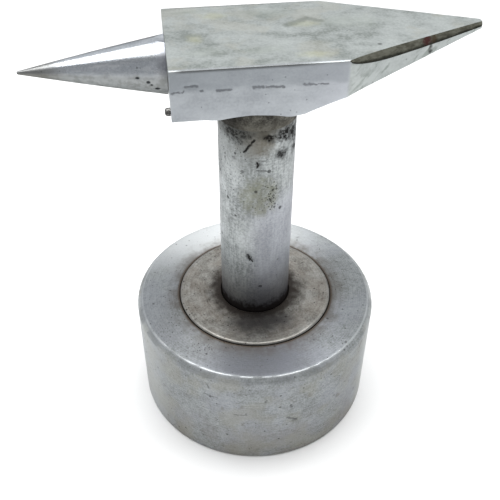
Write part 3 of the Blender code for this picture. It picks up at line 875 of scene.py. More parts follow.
def head_metal():
    """Ground tool steel with clouds and stains on the face, grinding marks on its sides, and painted
    light on the top edges: a highlight at the ends, shade in the middle.
    """
    paint = Paint("head_steel")
    slanted = paint.slanted("Z_AXIS", 0.45)
    along = paint.cloudy(0.5, stretch=(6.0, 1.0, 1.0), place=slanted)
    broad = paint.cloudy(6.0, stretch=(1.3, 1.0, 1.0), seed=1.5, rough=0.45)
    cloud = paint.cloudy(2.2, stretch=(1.6, 1.0, 1.0), seed=4.5, rough=0.45)
    grit = paint.cloudy(0.5, seed=2.5)
    tone = paint.weigh((along, 0.06), (broad, 0.40), (cloud, 0.28), (grit, 0.26))
    paint.undercoat(tone, (0.18, HEAD_GREY), (0.50, HEAD_MIDDLE), (0.82, HEAD_PALE))

    on_face = paint.ease(paint.z, HEAD_TOP / MM - 0.3, HEAD_TOP / MM - 0.05)
    paint.coat(FACE_YELLOW, paint.patches(6.5, 0.50, 0.64, seed=22.0), on_face, 0.30)
    stains = paint.spots(*FACE_STAINS)
    paint.coat(FACE_STAIN, stains, on_face, 0.50)
    paint.coat(FACE_ARCH, paint.strokes(*FACE_ARCHES), on_face, 0.55)
    mottles = paint.spots(*FACE_MOTTLES)
    paint.coat(FACE_MOTTLE, mottles, on_face, 0.50)
    paint.coat(SOOT, paint.spot(face_point(22.1, -7.9), (0.42, 0.42, 1.0), 0.5, 0.3, 0.5), 0.6)

    on_front = paint.times(paint.ease(paint.y, -13.2, -13.8), paint.ease(paint.x, 15.5, 14.5))
    paint.coat(FRONT_BLUE, on_front, 0.6)
    paint.coat(FRONT_RIGHT, on_front, paint.ease(paint.x, 2.0, 15.0), 0.6)
    leftward = paint.times(on_front, paint.ease(paint.x, -2.0, -18.0))
    border = paint.add(paint.z, paint.times(paint.grain(3.0, seed=7.0), 1.4))
    upper = paint.times(on_front, paint.ease(border, 95.2, 96.6))
    paint.coat(FRONT_UPPER, upper, 0.42)
    paint.coat(FRONT_CORNER, upper, leftward, 0.35)
    paint.coat(FRONT_LEFT, leftward, 0.25)
    paint.coat(FRONT_DASH, paint.strokes(*FRONT_DASHES), 0.62)

    beak_side = paint.times(
        paint.ease(paint.x, 14.5, 17.0),
        paint.ease(paint.z, 98.9, 98.2),
        paint.ease(paint.y, 0.0, -1.0),
    )
    paint.coat(BEAK_SIDE, beak_side, 0.6)
    diagonal = paint.slanted("Y_AXIS", 0.75)
    streaky = {"detail": 4.0, "stretch": (7.0, 3.0, 1.0), "place": diagonal, "seed": 3.3}
    smears = paint.times(beak_side, paint.patches(0.7, 0.50, 0.60, **streaky))
    paint.coat(BEAK_SMEAR, smears, paint.patches(4.0, 0.40, 0.55, seed=31.0), 0.60)
    paint.coat(BEAK_NOTCH, paint.stroke((33.1, -6.3, 97.4), (33.2, -6.1, 96.3), 0.50, 0.4), 0.9)

    dots = paint.specks(0.6, 0.03, 4.0)
    paint.coat(SOOT, dots, 0.35)
    # Painted light on the top edges: a painted highlight at both ends, painted shade along the
    # middle.
    edge = paint.attribute("edge")
    highlit_ends = paint.either(paint.ease(paint.x, -15.5, -17.5), paint.ease(paint.x, 5.0, 12.0))
    paint.coat(paint.mix(highlit_ends, EDGE_SHADE, EDGE_HIGHLIGHT), edge, 0.9)
    roughness = paint.spread(tone, 0.46, 0.33)
    roughness = paint.blend(paint.either(stains, mottles, edge), roughness, 0.5)
    height = paint.weigh((along, 0.3), (grit, 0.6), (dots, -0.5))
    return paint.finish(roughness, height, 0.018)


SCALE_DARK = (0.10, 0.098, 0.078)
SCALE_LIGHT = (0.19, 0.19, 0.155)
BEVEL_LOWER_BLACK = (0.022, 0.023, 0.018)
RUST_SPOT = (0.075, 0.020, 0.021)
BROWN_SPOT = (0.07, 0.045, 0.025)


def bevel_metal():
    """The beak's ground bevel: olive-brown scale above, near-black below, one rust spot."""
    paint = Paint("bevel_scale")
    streaks = paint.cloudy(0.35, detail=4.0, stretch=(6.0, 1.5, 1.0))
    cloud = paint.cloudy(2.2, detail=4.0, seed=2.0)
    tone = paint.weigh((streaks, 0.5), (cloud, 0.5))
    paint.undercoat(tone, (0.2, SCALE_DARK), (0.8, SCALE_LIGHT))
    # Near-black along the lower half of the bevel.
    low = paint.jitter(paint.attribute("low"), 0.7, 1.5, 6.0, detail=4.0)
    paint.coat(BEVEL_LOWER_BLACK, paint.ease(low, 0.42, 0.85), 0.88)
    paint.coat(RUST_SPOT, paint.spot((32.1, -6.6, 98.75), (0.95, 1.2, 0.9), 0.4, 0.7, 0.8), 0.85)
    paint.coat(BROWN_SPOT, paint.spot((33.8, -5.9, 98.7), (0.7, 1.0, 0.8), 0.5, 0.7, 0.6), 0.7)
    paint.coat(SOOT, paint.stroke((33.0, -6.2, 99.3), (33.0, -6.6, 97.6), 0.2), 0.7)
    return paint.finish(paint.spread(tone, 0.62, 0.45), streaks, 0.03)


HORN_DARK = (0.36, 0.385, 0.415)
HORN_LIGHT = (0.54, 0.565, 0.60)
HORN_STREAK = (0.62, 0.64, 0.66)
HORN_JOINT_SHADE = (0.12, 0.12, 0.14)
HORN_BACK_SHADE = (0.16, 0.158, 0.152)
HORN_UNDERSIDE_SHADE = (0.265, 0.275, 0.27)
HORN_BLOTCH = (0.15, 0.155, 0.145)
HORN_TIP = (0.13, 0.125, 0.11)
HORN_PIT = (0.02, 0.022, 0.024)
HORN_SPECULAR = (0.42, 0.42, 0.415)
# Pits near the joint: centre, radii, softness, raggedness, size of the grain.
HORN_PITS = (
    ((-23.9, -4.7, 93.7), (0.42, 0.9, 0.26), 0.3, 0.5, 0.5),
    ((-21.9, -5.0, 92.8), (0.40, 0.9, 0.34), 0.3, 0.4, 0.5),
    ((-21.3, -4.9, 92.2), (0.26, 0.9, 0.24), 0.3, 0.4, 0.5),
    ((-20.2, -4.7, 91.2), (0.46, 0.9, 0.36), 0.3, 0.5, 0.5),
)


def horn_metal():
    """Bright polish-finished steel with faint turning marks, painted shade at the joint, on its
    upper back and on its underside, and a duller tip.
    """
    paint = Paint("horn_steel")
    rings = paint.lines(paint.x, 0.35)
    cloud = paint.cloudy(2.6, detail=5.0, stretch=(2.0, 1.0, 1.0), seed=1.0)
    grit = paint.cloudy(0.4, detail=2.0, seed=2.0)
    tone = paint.weigh((rings, 0.26), (cloud, 0.42), (grit, 0.32))
    paint.undercoat(tone, (0.2, HORN_DARK), (0.8, HORN_LIGHT))
    streaks = paint.patches(0.8, 0.48, 0.66, stretch=(14.0, 1.0, 1.0), seed=12.0)
    paint.coat(HORN_STREAK, streaks, 0.5)
    # Painted shade in the corner at the joint with the head, on the front side.
    joint_shade = paint.ease(paint.jitter(paint.x, 3.0, 1.2, 4.0), -20.8, -18.4)
    paint.coat(HORN_JOINT_SHADE, joint_shade, paint.ease(paint.y, 1.0, -3.0), 0.62)
    facing = paint.split(paint.new("ShaderNodeNewGeometry").outputs["Normal"])
    # Painted shade: surfaces of the horn facing up and back are darkened.
    behind = paint.times(paint.ease(facing[1], 0.10, 0.35), paint.ease(facing[2], 0.6, 0.85))
    paint.coat(HORN_BACK_SHADE, behind, 0.95)
    # Painted shade: surfaces facing down are darkened, with darker blotches on them.
    under = paint.ease(facing[2], 0.28, -0.12)
    paint.coat(HORN_UNDERSIDE_SHADE, under, 0.80)
    paint.coat(HORN_BLOTCH, under, paint.patches(1.2, 0.42, 0.62, detail=5.0, seed=6.0), 0.45)
    tip = paint.ease(paint.jitter(paint.x, 4.0, 2.0, 14.0), -36.5, -41.5)
    paint.coat(HORN_TIP, tip, 0.72)
    pits = paint.spots(*HORN_PITS)
    paint.coat(HORN_PIT, pits, 0.92)
    paint.coat(SOOT, paint.specks(0.7, 0.07, 9.0), 0.5)
    roughness = paint.spread(tone, 0.30, 0.20)
    roughness = paint.blend(paint.either(joint_shade, under, tip, pits), roughness, 0.40)
    paint.put(paint.shader.inputs["Specular Tint"], HORN_SPECULAR)
    return paint.finish(roughness, paint.weigh((rings, 0.5), (grit, 0.5)), 0.006)


WELD_DARK = (0.055, 0.052, 0.045)
WELD_LIGHT = (0.155, 0.15, 0.13)
WELD_TOE = (0.20, 0.19, 0.16)


def weld_metal():
    """Dull dark bead: painted shade at both ends and along its top under the head, olive-grey in the
    middle.
    """
    paint = Paint("weld_skin")
    cloud = paint.cloudy(1.4, detail=5.0)
    grit = paint.cloudy(0.4, seed=3.0)
    tone = paint.weigh((cloud, 0.6), (grit, 0.4))
    paint.undercoat(tone, (0.2, WELD_DARK), (0.8, WELD_LIGHT))
    paint.coat(WELD_TOE, paint.ease(paint.shifted(paint.z, cloud, 2.0), 84.4, 82.2), 0.45)
    # Painted shade: the bead is darkened at both ends and along its top under the head.
    ragged = paint.grain(1.2, seed=5.0)
    across = paint.shifted(paint.x, ragged, 3.0)
    top = paint.ease(paint.shifted(paint.z, ragged, 1.5), 87.2, 88.6)
    ends = paint.either(paint.ease(across, -2.5, -6.0), paint.ease(across, 6.6, 8.2))
    paint.coat(SOOT, paint.either(ends, top), 0.78)
    return paint.finish(paint.spread(tone, 0.70, 0.50), grit, 0.06)


# Metals of small parts: dark, light, lowest and highest roughness, grain size, bump depth.
SMALL_METALS = {
    "stud_steel": ((0.30, 0.30, 0.30), (0.55, 0.55, 0.54), 0.25, 0.45, 0.4, 0.01),
    "black_oxide": ((0.018, 0.018, 0.02), (0.06, 0.06, 0.065), 0.32, 0.5, 0.5, 0.01),
    "washer_steel": ((0.26, 0.26, 0.26), (0.50, 0.50, 0.49), 0.28, 0.5, 0.4, 0.01),
    "nub_steel": ((0.06, 0.058, 0.055), (0.30, 0.295, 0.285), 0.35, 0.55, 0.3, 0.02),
}


def small_metal(name):
    """Two tones in clouds and grain, with a bump to match."""
    dark, light, smoothest, roughest, size, depth = SMALL_METALS[name]
    paint = Paint(name)
    cloud = paint.cloudy(size * 3.0, detail=4.0)
    grit = paint.cloudy(size, seed=3.0)
    tone = paint.weigh((cloud, 0.5), (grit, 0.5))
    paint.undercoat(tone, (0.2, dark), (0.8, light))
    return paint.finish(paint.spread(tone, roughest, smoothest), grit, depth)


# ---------------------------------------------------------------- turned pieces
def make_turned_base():
    """The heavy base, with wear on its rim, small dents and faint turning waves."""
    bore = SPIGOT_RADIUS + GAP
    clear = THREAD_RADIUS + SCREW_CLEARANCE
    recess = DISC_RADIUS + GAP
    foot = BASE_RADIUS - FOOT_CHAMFER
    rim_z = BASE_TOP - RIM_CHAMFER
    rim_radius = BASE_RADIUS - RIM_CHAMFER
    outline = [
        (RELIEF_RADIUS, RELIEF_DEPTH),
        (RELIEF_RADIUS + FOOT_CHAMFER, 0.0),
        (foot, 0.0),
        *arc(foot, FOOT_CHAMFER, FOOT_CHAMFER, -80.0, -8.0, 5),
        (BASE_RADIUS, FOOT_CHAMFER),
        (BASE_RADIUS, rim_z - RIM_EASE),
        (BASE_RADIUS - RIM_SHAVE, rim_z),
        (BASE_RADIUS - RIM_EASE, rim_z + RIM_EASE),
        (rim_radius + RIM_EASE, BASE_TOP - RIM_EASE),
        (rim_radius, BASE_TOP - RIM_SHAVE),
        (rim_radius - RIM_EASE, BASE_TOP),
        (recess + RECESS_EDGE, BASE_TOP),
        (recess, BASE_TOP - RECESS_EDGE),
        (recess, RECESS_FLOOR),
        (bore, RECESS_FLOOR),
        (bore, WEB_TOP),
        (clear, WEB_TOP),
        (clear, WEB_UNDERSIDE),
        (COUNTERBORE_RADIUS, WEB_UNDERSIDE),
        (COUNTERBORE_RADIUS, RELIEF_DEPTH),
    ]
    mesh_data = lathe(densify(outline, spacing=1.0 * MM, closed=True), segments=256, closed=True)
    still = 0.2 * MM
    inset = 0.6 * MM
    width = 1.2 * MM
    swell = 0.02 * MM
    wear = 0.05 * MM

    def wave(point):
        reach = math.hypot(point.x, point.y)
        if reach < recess + still or point.z < still:
            return 0.0
        at_rim = bump(point.z, BASE_TOP - inset, width) * bump(reach, BASE_RADIUS - inset, width)
        broad = swell * ripple(point, 6.0 * MM)
        return broad + wear * at_rim * ripple(point, 2.6 * MM, 5.0)

    marks = [
        mark((5.6, -29.5, 13.8), 0.7, 0.35, 0.12, 0.7),
        mark((16.4, -25.1, 19.8), 0.35, 0.35, 0.08, 0.6),
        mark((4.4, -29.7, 19.8), 0.35, 0.35, 0.08, 0.5),
    ]
    for x, y in ((-19.5, 3.8), (24.8, 4.4), (14.9, 19.0)):
        marks.append(mark((x, y, 30.0), 0.35, 0.5, 0.08, 0.6))
    weather(mesh_data, wave, marks)
    make_piece("turned_base", mesh_data, [turned_base_metal()], "base_block")


def make_foot_disc():
    """The disc around the post's foot, its rim rounded by hand."""
    bore = POST_RADIUS + GROOVE
    outer = DISC_RADIUS + GAP - GROOVE
    outline = [
        (bore, DISC_BOTTOM),
        (outer, DISC_BOTTOM),
        *arc(outer - DISC_RIM, DISC_TOP - DISC_RIM, DISC_RIM, 0.0, 90.0, 7),
        (bore + DISC_BORE_EDGE, DISC_TOP),
        (bore, DISC_TOP - DISC_BORE_EDGE),
    ]
    mesh_data = lathe(densify(outline, spacing=0.6 * MM, closed=True), segments=216, closed=True)
    hidden = DISC_TOP - 1.0 * MM
    swell = 0.03 * MM

    def wave(point):
        if point.z < hidden:
            return 0.0
        return swell * ripple(point, 1.3 * MM) + swell * ripple(point, 4.0 * MM, 3.0)

    weather(mesh_data, wave)
    make_piece("foot_disc", mesh_data, [foot_disc_metal()], "foot_flange")


# Dents on the post: degrees, height, reach across and up, depth, dirt.
POST_DENTS = (
    (-110.0, 48.3, 0.45, 0.7, 0.22, 0.9),
    (-104.0, 47.4, 0.5, 0.3, 0.12, 0.5),
    (-133.0, 75.0, 0.45, 0.45, 0.14, 0.6),
    (-95.0, 74.2, 0.4, 0.55, 0.16, 0.8),
    (-73.0, 67.2, 0.35, 0.35, 0.12, 0.9),
    (-77.0, 64.7, 0.35, 0.35, 0.12, 0.9),
    (-59.0, 75.7, 0.8, 0.6, 0.16, 0.6),
    (-62.0, 76.4, 0.4, 0.3, 0.10, 0.5),
)
LARGE_PITS = ((-84, 80.6), (-78, 80.2), (-63, 81.0), (-56, 80.0), (-48, 80.9), (-40, 79.8))
SMALL_PITS = ((-52, 81.7), (-34, 80.6), (-28, 79.4), (-22, 78.8), (-44, 79.0))


def make_post_bar():
    """The post with its spigot and tenon, pitted near the top and nicked lower down."""
    under_head = HEAD_UNDERSIDE - JOINT_GAP
    hole = THREAD_RADIUS + GAP
    hole_top = POST_BOTTOM + TAPPED_DEPTH
    outline = [
        (0.0, hole_top + hole * DRILL_POINT),
        (hole, hole_top),
        (hole, POST_BOTTOM),
        (SPIGOT_RADIUS - SMALL_EDGE, POST_BOTTOM),
        (SPIGOT_RADIUS, POST_BOTTOM + SMALL_EDGE),
        (SPIGOT_RADIUS, DISC_BOTTOM),
        (POST_RADIUS - SMALL_EDGE, DISC_BOTTOM),
        (POST_RADIUS, DISC_BOTTOM + SMALL_EDGE),
        (POST_RADIUS, under_head),
        (TENON_RADIUS, under_head),
        (TENON_RADIUS, POST_TOP - SMALL_EDGE),
        (TENON_RADIUS - SMALL_EDGE, POST_TOP),
        (0.0, POST_TOP),
    ]
    mesh_data = lathe(densify(outline, spacing=0.42 * MM, closed=False), segments=144, closed=False)
    low = DISC_TOP - 1.0 * MM
    high = under_head - 0.01 * MM
    skin = POST_RADIUS - 0.1 * MM
    upright = 0.25
    fine = 0.025 * MM
    broad = 0.03 * MM

    def wave(point):
        if not low <= point.z <= high or math.hypot(point.x, point.y) < skin:
            return 0.0
        long = Vector((point.x, point.y, point.z * upright))
        return fine * ripple(long, 1.6 * MM) + broad * ripple(point, 7.0 * MM, 2.0)

    marks = [mark(on_post(degrees, height), *rest) for degrees, height, *rest in POST_DENTS]
    marks += [mark(on_post(*place), 0.8, 0.6, 0.18, 0.8) for place in LARGE_PITS]
    marks += [mark(on_post(*place), 0.6, 0.5, 0.14, 0.7) for place in SMALL_PITS]
    weather(mesh_data, wave, marks)
    make_piece("post_bar", mesh_data, [post_metal()], "post")


def make_weld_fillet():
    """A hollow fillet with the ripples and lumps of a hand-laid bead."""
    inner = POST_RADIUS + JOINT_GAP
    width = WELD_HIGH.y - inner
    top = HEAD_UNDERSIDE - JOINT_GAP
    height = top - WELD_LOW.z
    toe = 0.12 * MM
    hollow = 2.2
    steps = 18
    profile = [(inner, top)]
    for step in range(steps + 1):
        share = step / steps
        reach = inner + toe + (width - toe) * (1.0 - share) ** hollow
        profile.append((reach, top - height * share))
    profile.append((inner, top - height))
    mesh_data = lathe(densify(profile, spacing=0.6 * MM, closed=True), segments=160, closed=True)
    still = 0.2 * MM
    roof = top - 0.05 * MM
    beads = 26.0
    ridge = 0.10 * MM
    lump = 0.16 * MM

    def wave(point):
        if math.hypot(point.x, point.y) - inner < still or point.z > roof:
            return 0.0
        angle = math.atan2(point.y, point.x)
        bead = ridge * math.sin(angle * beads + 2.0 * math.sin(angle * 3.0))
        return bead + lump * ripple(point, 1.3 * MM)

    weather(mesh_data, wave)
    make_piece("weld_fillet", mesh_data, [weld_metal()], "weld_bead")


def horn_radius(share):
    """Radius of the horn from its base (0) to its tip (1)."""
    swell = HORN_SWELL * math.sin(math.pi * share)
    return HORN_BASE_RADIUS + (HORN_TIP_RADIUS - HORN_BASE_RADIUS) * share + swell


def make_conical_horn():
    """The polished horn, its top ground flush with the face close to the head."""
    base_x = HEAD_END_X - JOINT_GAP
    length = base_x - HORN_TIP_X
    bore = STUD_RADIUS + GAP
    bore_depth = HEAD_END_X - STUD_LOW.x
    body = length - HORN_TIP_RADIUS
    base_steps = 5
    steps = 110
    profile = [(0.0, bore_depth + bore * DRILL_POINT), (bore, bore_depth), (bore, 0.0)]
    for step in range(1, base_steps):
        profile.append((bore + (horn_radius(0.0) - bore) * step / base_steps, 0.0))
    for step in range(steps + 1):
        profile.append((horn_radius(step / steps), body * step / steps))
    profile.extend(arc(0.0, body, HORN_TIP_RADIUS, 0.0, 90.0, 5)[1:-1])
    profile.append((0.0, length))
    mesh_data = lathe(profile, segments=128, closed=False)
    lean = math.atan2(HORN_TIP_Z - HORN_AXIS_Z, length)
    mesh_data.transform(Matrix.Rotation(math.radians(-90.0) + lean, 4, "Y"))
    mesh_data.transform(Matrix.Translation((base_x, 0.0, HORN_AXIS_Z)))
    at_joint = base_x - 0.05 * MM
    near_tip = HORN_TIP_X + 6.0 * MM
    fading = 8.0 * MM
    swell = 0.012 * MM

    def wave(point):
        in_bore = math.hypot(point.y, point.z - HORN_AXIS_Z) < bore * 1.01
        if point.x > near_tip and (point.x > at_joint or in_bore):
            return 0.0
        fade = min(1.0, (point.x - HORN_TIP_X) / fading)
        return swell * fade * ripple(point, 3.0 * MM)

    marks = [
        mark((-23.9, -4.7, 93.7), 0.28, 0.25, 0.10, 0.75),
        mark((-21.9, -5.0, 92.8), 0.38, 0.32, 0.14, 0.95),
        mark((-21.4, -4.85, 92.0), 0.30, 0.26, 0.10, 0.7),
        mark((-20.15, -4.7, 91.1), 0.42, 0.36, 0.16, 1.0),
        mark((-21.4, -5.0, 95.35), 0.35, 0.35, 0.06, 0.35),
    ]
    weather(mesh_data, wave, marks)
    cut = bmesh.ops.bisect_plane(
        mesh_data,
        geom=mesh_data.verts[:] + mesh_data.edges[:] + mesh_data.faces[:],
        dist=1e-7,
        plane_co=(0.0, 0.0, HEAD_TOP),
        plane_no=(0.0, 0.0, 1.0),
        clear_outer=True,
    )
    rim = [item for item in cut["geom_cut"] if isinstance(item, bmesh.types.BMEdge)]
    bmesh.ops.contextual_create(mesh_data, geom=rim)
    make_piece("conical_horn", mesh_data, [horn_metal()], "round_horn", sharp_degrees=12.0)


# ---------------------------------------------------------------- head
def beak_share(x):
    """0 at the start of the beak's side taper and 1 at the tip."""
    return (x - BEAK_START_X) / (BEAK_TIP_X - BEAK_START_X)


def half_width(x):
    if x <= BEAK_START_X:
        return HEAD_SIDE
    share = beak_share(x)
    return HEAD_SIDE * (1.0 - share) + BEAK_TIP_WIDTH / 2.0 * share


def underside_z(x):
    """Flat under the post, then a steep undercut that flattens out towards the tip."""
    if x <= UNDERCUT_START_X:
        return HEAD_UNDERSIDE
    corner_z = HEAD_TOP - BEAK_START_HEIGHT
    tip_z = HEAD_TOP - BEAK_TIP_HEIGHT
    slope = (corner_z - HEAD_UNDERSIDE) / (BEAK_START_X - UNDERCUT_START_X)
    steep = HEAD_UNDERSIDE + slope * (x - UNDERCUT_START_X)
    shallow = corner_z + (tip_z - corner_z) * beak_share(x)
    return (steep + shallow - math.hypot(steep - shallow, UNDERCUT_BLEND)) / 2.0


def bevel_size(x):
    """Inset and drop of the bevel along the front top edge, a long lens in shape."""
    share = min(max(beak_share(x), 0.0), 1.0)
    rise = math.sin(math.pi * min(share * BEVEL_RISE_RATE, 1.0) / 2.0) ** BEVEL_RISE_POWER
    fade = 1.0 - share ** BEVEL_FADE_POWER
    inset = BEVEL_TIP_INSET * share + rise * fade * (BEVEL_INSET - BEVEL_TIP_INSET * share)
    drop = BEVEL_TIP_DROP * share + rise * fade * (BEVEL_DROP - BEVEL_TIP_DROP * share)
    return max(inset, EDGE_ROUND), max(drop, EDGE_ROUND)


def head_section(x, shrink):
    """Outline (y, z) of the head at x, from the front bottom edge up and round to the back.

    The second result gives the range of points of each part of the outline.
    """
    side = half_width(x) - shrink
    low = underside_z(x) + shrink
    top = HEAD_TOP - shrink
    inset, drop = bevel_size(x)
    edge = min(EDGE_ROUND, side * 0.3, (top - low) * 0.3)
    inset = min(inset, side)
    drop = min(drop, (top - low) * 0.7)
    inner = side - edge
    lower = (-side, top - drop)
    middle = (-side + inset * BEVEL_BREAK_INSET, top - drop * BEVEL_BREAK_DROP)
    upper = (-side + inset, top)
    half = BEVEL_STEPS // 2
    front_edge = arc(-side + edge, low + edge, edge, 270.0, 180.0, 4)[1:-1]
    top_edge = arc(inner, top - edge, edge, 90.0, 0.0, 4)[1:-1]
    back_edge = arc(inner, low + edge, edge, 0.0, -90.0, 4)[1:-1]
    runs = {
        "front edge": front_edge,
        "front": even((-side, low + edge), lower, 20),
        "bevel": even(lower, middle, half) + even(middle, upper, half),
        "face": even(upper, (inner, top), 46),
        "back top": [(inner, top)] + top_edge,
        "back": even((side, top - edge), (side, low + edge), 16),
        "back edge": [(side, low + edge)] + back_edge,
        "bottom": even((inner, low), (-side + edge, low), 40) + [(-side + edge, low)],
    }
    points = []
    parts = {}
    for name, run in runs.items():
        parts[name] = (len(points), len(points) + len(run))
        points.extend(run)
    return points, parts


def rounded(radius, degrees):
    """How far in along x, and how far towards the middle, a rounded edge is at an angle."""
    angle = math.radians(degrees)
    return radius * (1.0 - math.cos(angle)), radius * (1.0 - math.sin(angle))


def head_stations():
    """(x, shrink) pairs along the head. The outline shrinks over the last bit of each end."""
    stations = []
    for step in range(4):
        inward, shrink = rounded(EDGE_ROUND, 30.0 * step)
        stations.append((HEAD_END_X + inward, shrink))
    last = BEAK_TIP_X - BEAK_TIP_ROUND
    runs = (
        (HEAD_END_X + EDGE_ROUND, UNDERCUT_START_X, 50),
        (UNDERCUT_START_X, BEAK_START_X, 16),
        (BEAK_START_X, last, 66),
    )
    for start, end, steps in runs:
        stations.extend((start + (end - start) * step / steps, 0.0) for step in range(1, steps + 1))
    for step in range(1, 6):
        angle = math.radians(16.0 * step)
        shrink = BEAK_TIP_ROUND * (1.0 - math.cos(angle))
        stations.append((last + BEAK_TIP_ROUND * math.sin(angle), shrink))
    return stations


def close_end(mesh_data, loop, rings):
    """Fill an end with rings that shrink towards the middle of the loop."""
    centre = sum((vertex.co for vertex in loop), Vector()) / len(loop)
    outer = loop
    for ring in range(1, rings):
        inner = [mesh_data.verts.new(vertex.co.lerp(centre, ring / rings)) for vertex in loop]
        bridge(mesh_data, outer, inner)
        outer = inner
    middle = mesh_data.verts.new(centre)
    for index, vertex in enumerate(outer):
        mesh_data.faces.new((vertex, outer[(index + 1) % len(outer)], middle))


def bridge(mesh_data, first, second):
    count = len(first)
    for index in range(count):
        beside = (index + 1) % count
        mesh_data.faces.new((first[index], first[beside], second[beside], second[index]))


def lower_edge_wave(x):
    """How far the front bottom edge is dressed up or hangs down near the weld."""
    lift = 0.34 * MM * bump(x / MM, -3.4, 3.2)
    hang = 0.50 * MM * bump(x / MM, 4.4, 2.2)
    left = 0.28 * MM * bump(x / MM, -9.6, 1.8)
    return lift - hang - left


def head_loops(mesh_data):
    """The outlines of the head from end to end, and the parts they are made of."""
    near_side = 2.0 * MM
    near_bottom = 1.6 * MM
    loops = []
    for x, shrink in head_stations():
        points, parts = head_section(x, shrink)
        loop = []
        for y, z in points:
            if x < UNDERCUT_START_X + near_side:
                near_front = max(0.0, 1.0 - (y + HEAD_SIDE) / near_side)
                near_low = max(0.0, 1.0 - (z - HEAD_UNDERSIDE) / near_bottom)
                z += lower_edge_wave(x) * near_front * near_low
            loop.append(mesh_data.verts.new((x, y, z)))
        loops.append(loop)
    return loops, parts


def tag_bevel(mesh_data, loops, parts):
    """Mark the bevel's lower half and the top edges, and give the bevel its own material."""
    low_share = 0.8
    back_edge = 0.7
    start, end = parts["bevel"]
    low_layer = mesh_data.verts.layers.float["low"]
    edge_layer = mesh_data.verts.layers.float["edge"]
    for loop in loops:
        for index in range(start, end + 1):
            share = (index - start) / BEVEL_STEPS
            loop[index][low_layer] = max(0.0, 1.0 - share / low_share)
            if loop[index].co.x < BEAK_START_X + 0.2 * MM:
                loop[index][edge_layer] = 1.0
        for index in range(*parts["back top"]):
            loop[index][edge_layer] = back_edge
    bevel_verts = {vertex for loop in loops for vertex in loop[start:end + 1]}
    for face in mesh_data.faces:
        on_beak = face.calc_center_median().x > BEAK_START_X + 0.1 * MM
        if on_beak and all(vertex in bevel_verts for vertex in face.verts):
            face.material_index = 1


def dash(start, end, z, depth):
    """A row of shallow dents that makes one scribed dash on the front, in millimetres."""
    spacing = 0.5
    count = max(2, round((end - start) / spacing))
    marks = []
    for step in range(count + 1):
        share = step / count
        swell = 0.55 + 0.45 * math.sin(math.pi * share)
        x = start + (end - start) * share
        marks.append(mark((x, FRONT_Y, z), 0.45, 0.30, depth * swell, 0.0))
    return marks


def head_hole(radius, depth, segments, y, z):
    """A hole of that depth into the head's left end."""
    outside = 2.0 * MM
    across = Matrix.Rotation(math.radians(90.0), 4, "Y")
    place = Matrix.Translation((HEAD_END_X + (depth - outside) / 2.0, y, z))
    return rod(radius, depth + outside, segments, place @ across)


def make_anvil_head():
    """The head: flat face, tapered beak with its bevel, scribed dashes and small knocks."""
    mesh_data = bmesh.new()
    mesh_data.verts.layers.float.new("low")
    mesh_data.verts.layers.float.new("edge")
    loops, parts = head_loops(mesh_data)
    for first, second in zip(loops, loops[1:]):
        bridge(mesh_data, first, second)
    close_end(mesh_data, loops[0], 14)
    close_end(mesh_data, loops[-1], 2)
    tag_bevel(mesh_data, loops, parts)
    bmesh.ops.recalc_face_normals(mesh_data, faces=mesh_data.faces)

    marks = dash(-15.4, -13.1, 96.1, 0.05)
    marks += dash(-17.9, -15.6, 95.1, 0.03)
    marks += dash(-9.6, -7.0, 95.0, 0.05)
    marks += dash(-2.8, 2.8, 95.1, 0.05)
    marks += dash(6.6, 11.2, 95.0, 0.04)
    marks.append(mark((33.15, -6.06, 96.66), 0.4, 0.6, 0.25, 0.9))
    tip = BEAK_TIP_X - 1.5 * MM
    swell = 0.03 * MM
    knock = 0.012 * MM

    def wave(point):
        if point.x > tip:
            return 0.0
        return swell * ripple(point, 7.0 * MM) + knock * ripple(point, 1.5 * MM, 6.0)

    weather(mesh_data, wave, marks)

    below = 3.0 * MM
    tenon_top = POST_TOP + GAP
    length = tenon_top - HEAD_UNDERSIDE + below
    socket_place = Matrix.Translation((0.0, 0.0, tenon_top - length / 2.0))
    socket = rod(TENON_RADIUS + GAP, length, 64, socket_place)
    stud_depth = STUD_HIGH.x - HEAD_END_X + GAP
    stud_hole = head_hole(STUD_RADIUS + GAP, stud_depth, 48, 0.0, HORN_AXIS_Z)
    nub_depth = NUB_HIGH.x - HEAD_END_X + GAP
    nub_hole = head_hole(NUB_SHANK + GAP / 2.0, nub_depth, 24, NUB_Y, NUB_Z)
    mesh_data = cut_away(mesh_data, [socket, stud_hole, nub_hole])
    metals = [head_metal(), bevel_metal()]
    make_piece("anvil_head", mesh_data, metals, "head_block", sharp_degrees=40.0)


# ---------------------------------------------------------------- screws and washer
def threaded(radius, start, end):
    """Profile rows for a thread, dense enough to carry its ridges."""
    rows = max(2, round((end - start) / (THREAD_PITCH / 8.0)))
    return [(radius, start + (end - start) * step / rows) for step in range(rows + 1)]


def thread_shape(radius, start, end):
    """Press a helical groove into the rows of a threaded stretch."""

    def shape(angle, r, height):
        if abs(r - radius) > 1e-6 or not start < height < end:
            return r, height
        fade = min(1.0, (height - start) / THREAD_PITCH, (end - height) / THREAD_PITCH)
        turn = (height / THREAD_PITCH - angle / (2.0 * math.pi)) % 1.0
        return r - THREAD_DEPTH * abs(turn * 2.0 - 1.0) * fade, height

    return shape


def make_horn_stud():
    """Plain threaded stud between head and horn."""
    length = STUD_HIGH.x - STUD_LOW.x
    end = length - SMALL_EDGE
    inner = STUD_RADIUS - SMALL_EDGE
    rows = threaded(STUD_RADIUS, SMALL_EDGE, end)
    profile = [(0.0, 0.0), (inner, 0.0), *rows, (inner, length), (0.0, length)]
    shape = thread_shape(STUD_RADIUS, SMALL_EDGE, end)
    mesh_data = lathe(profile, segments=48, closed=False, shape=shape)
    lay_down(mesh_data, 90.0, STUD_LOW.x, 0.0, HORN_AXIS_Z)
    metal = small_metal("stud_steel")
    make_piece("threaded_stud", mesh_data, [metal], "horn_stud", sharp_degrees=25.0)


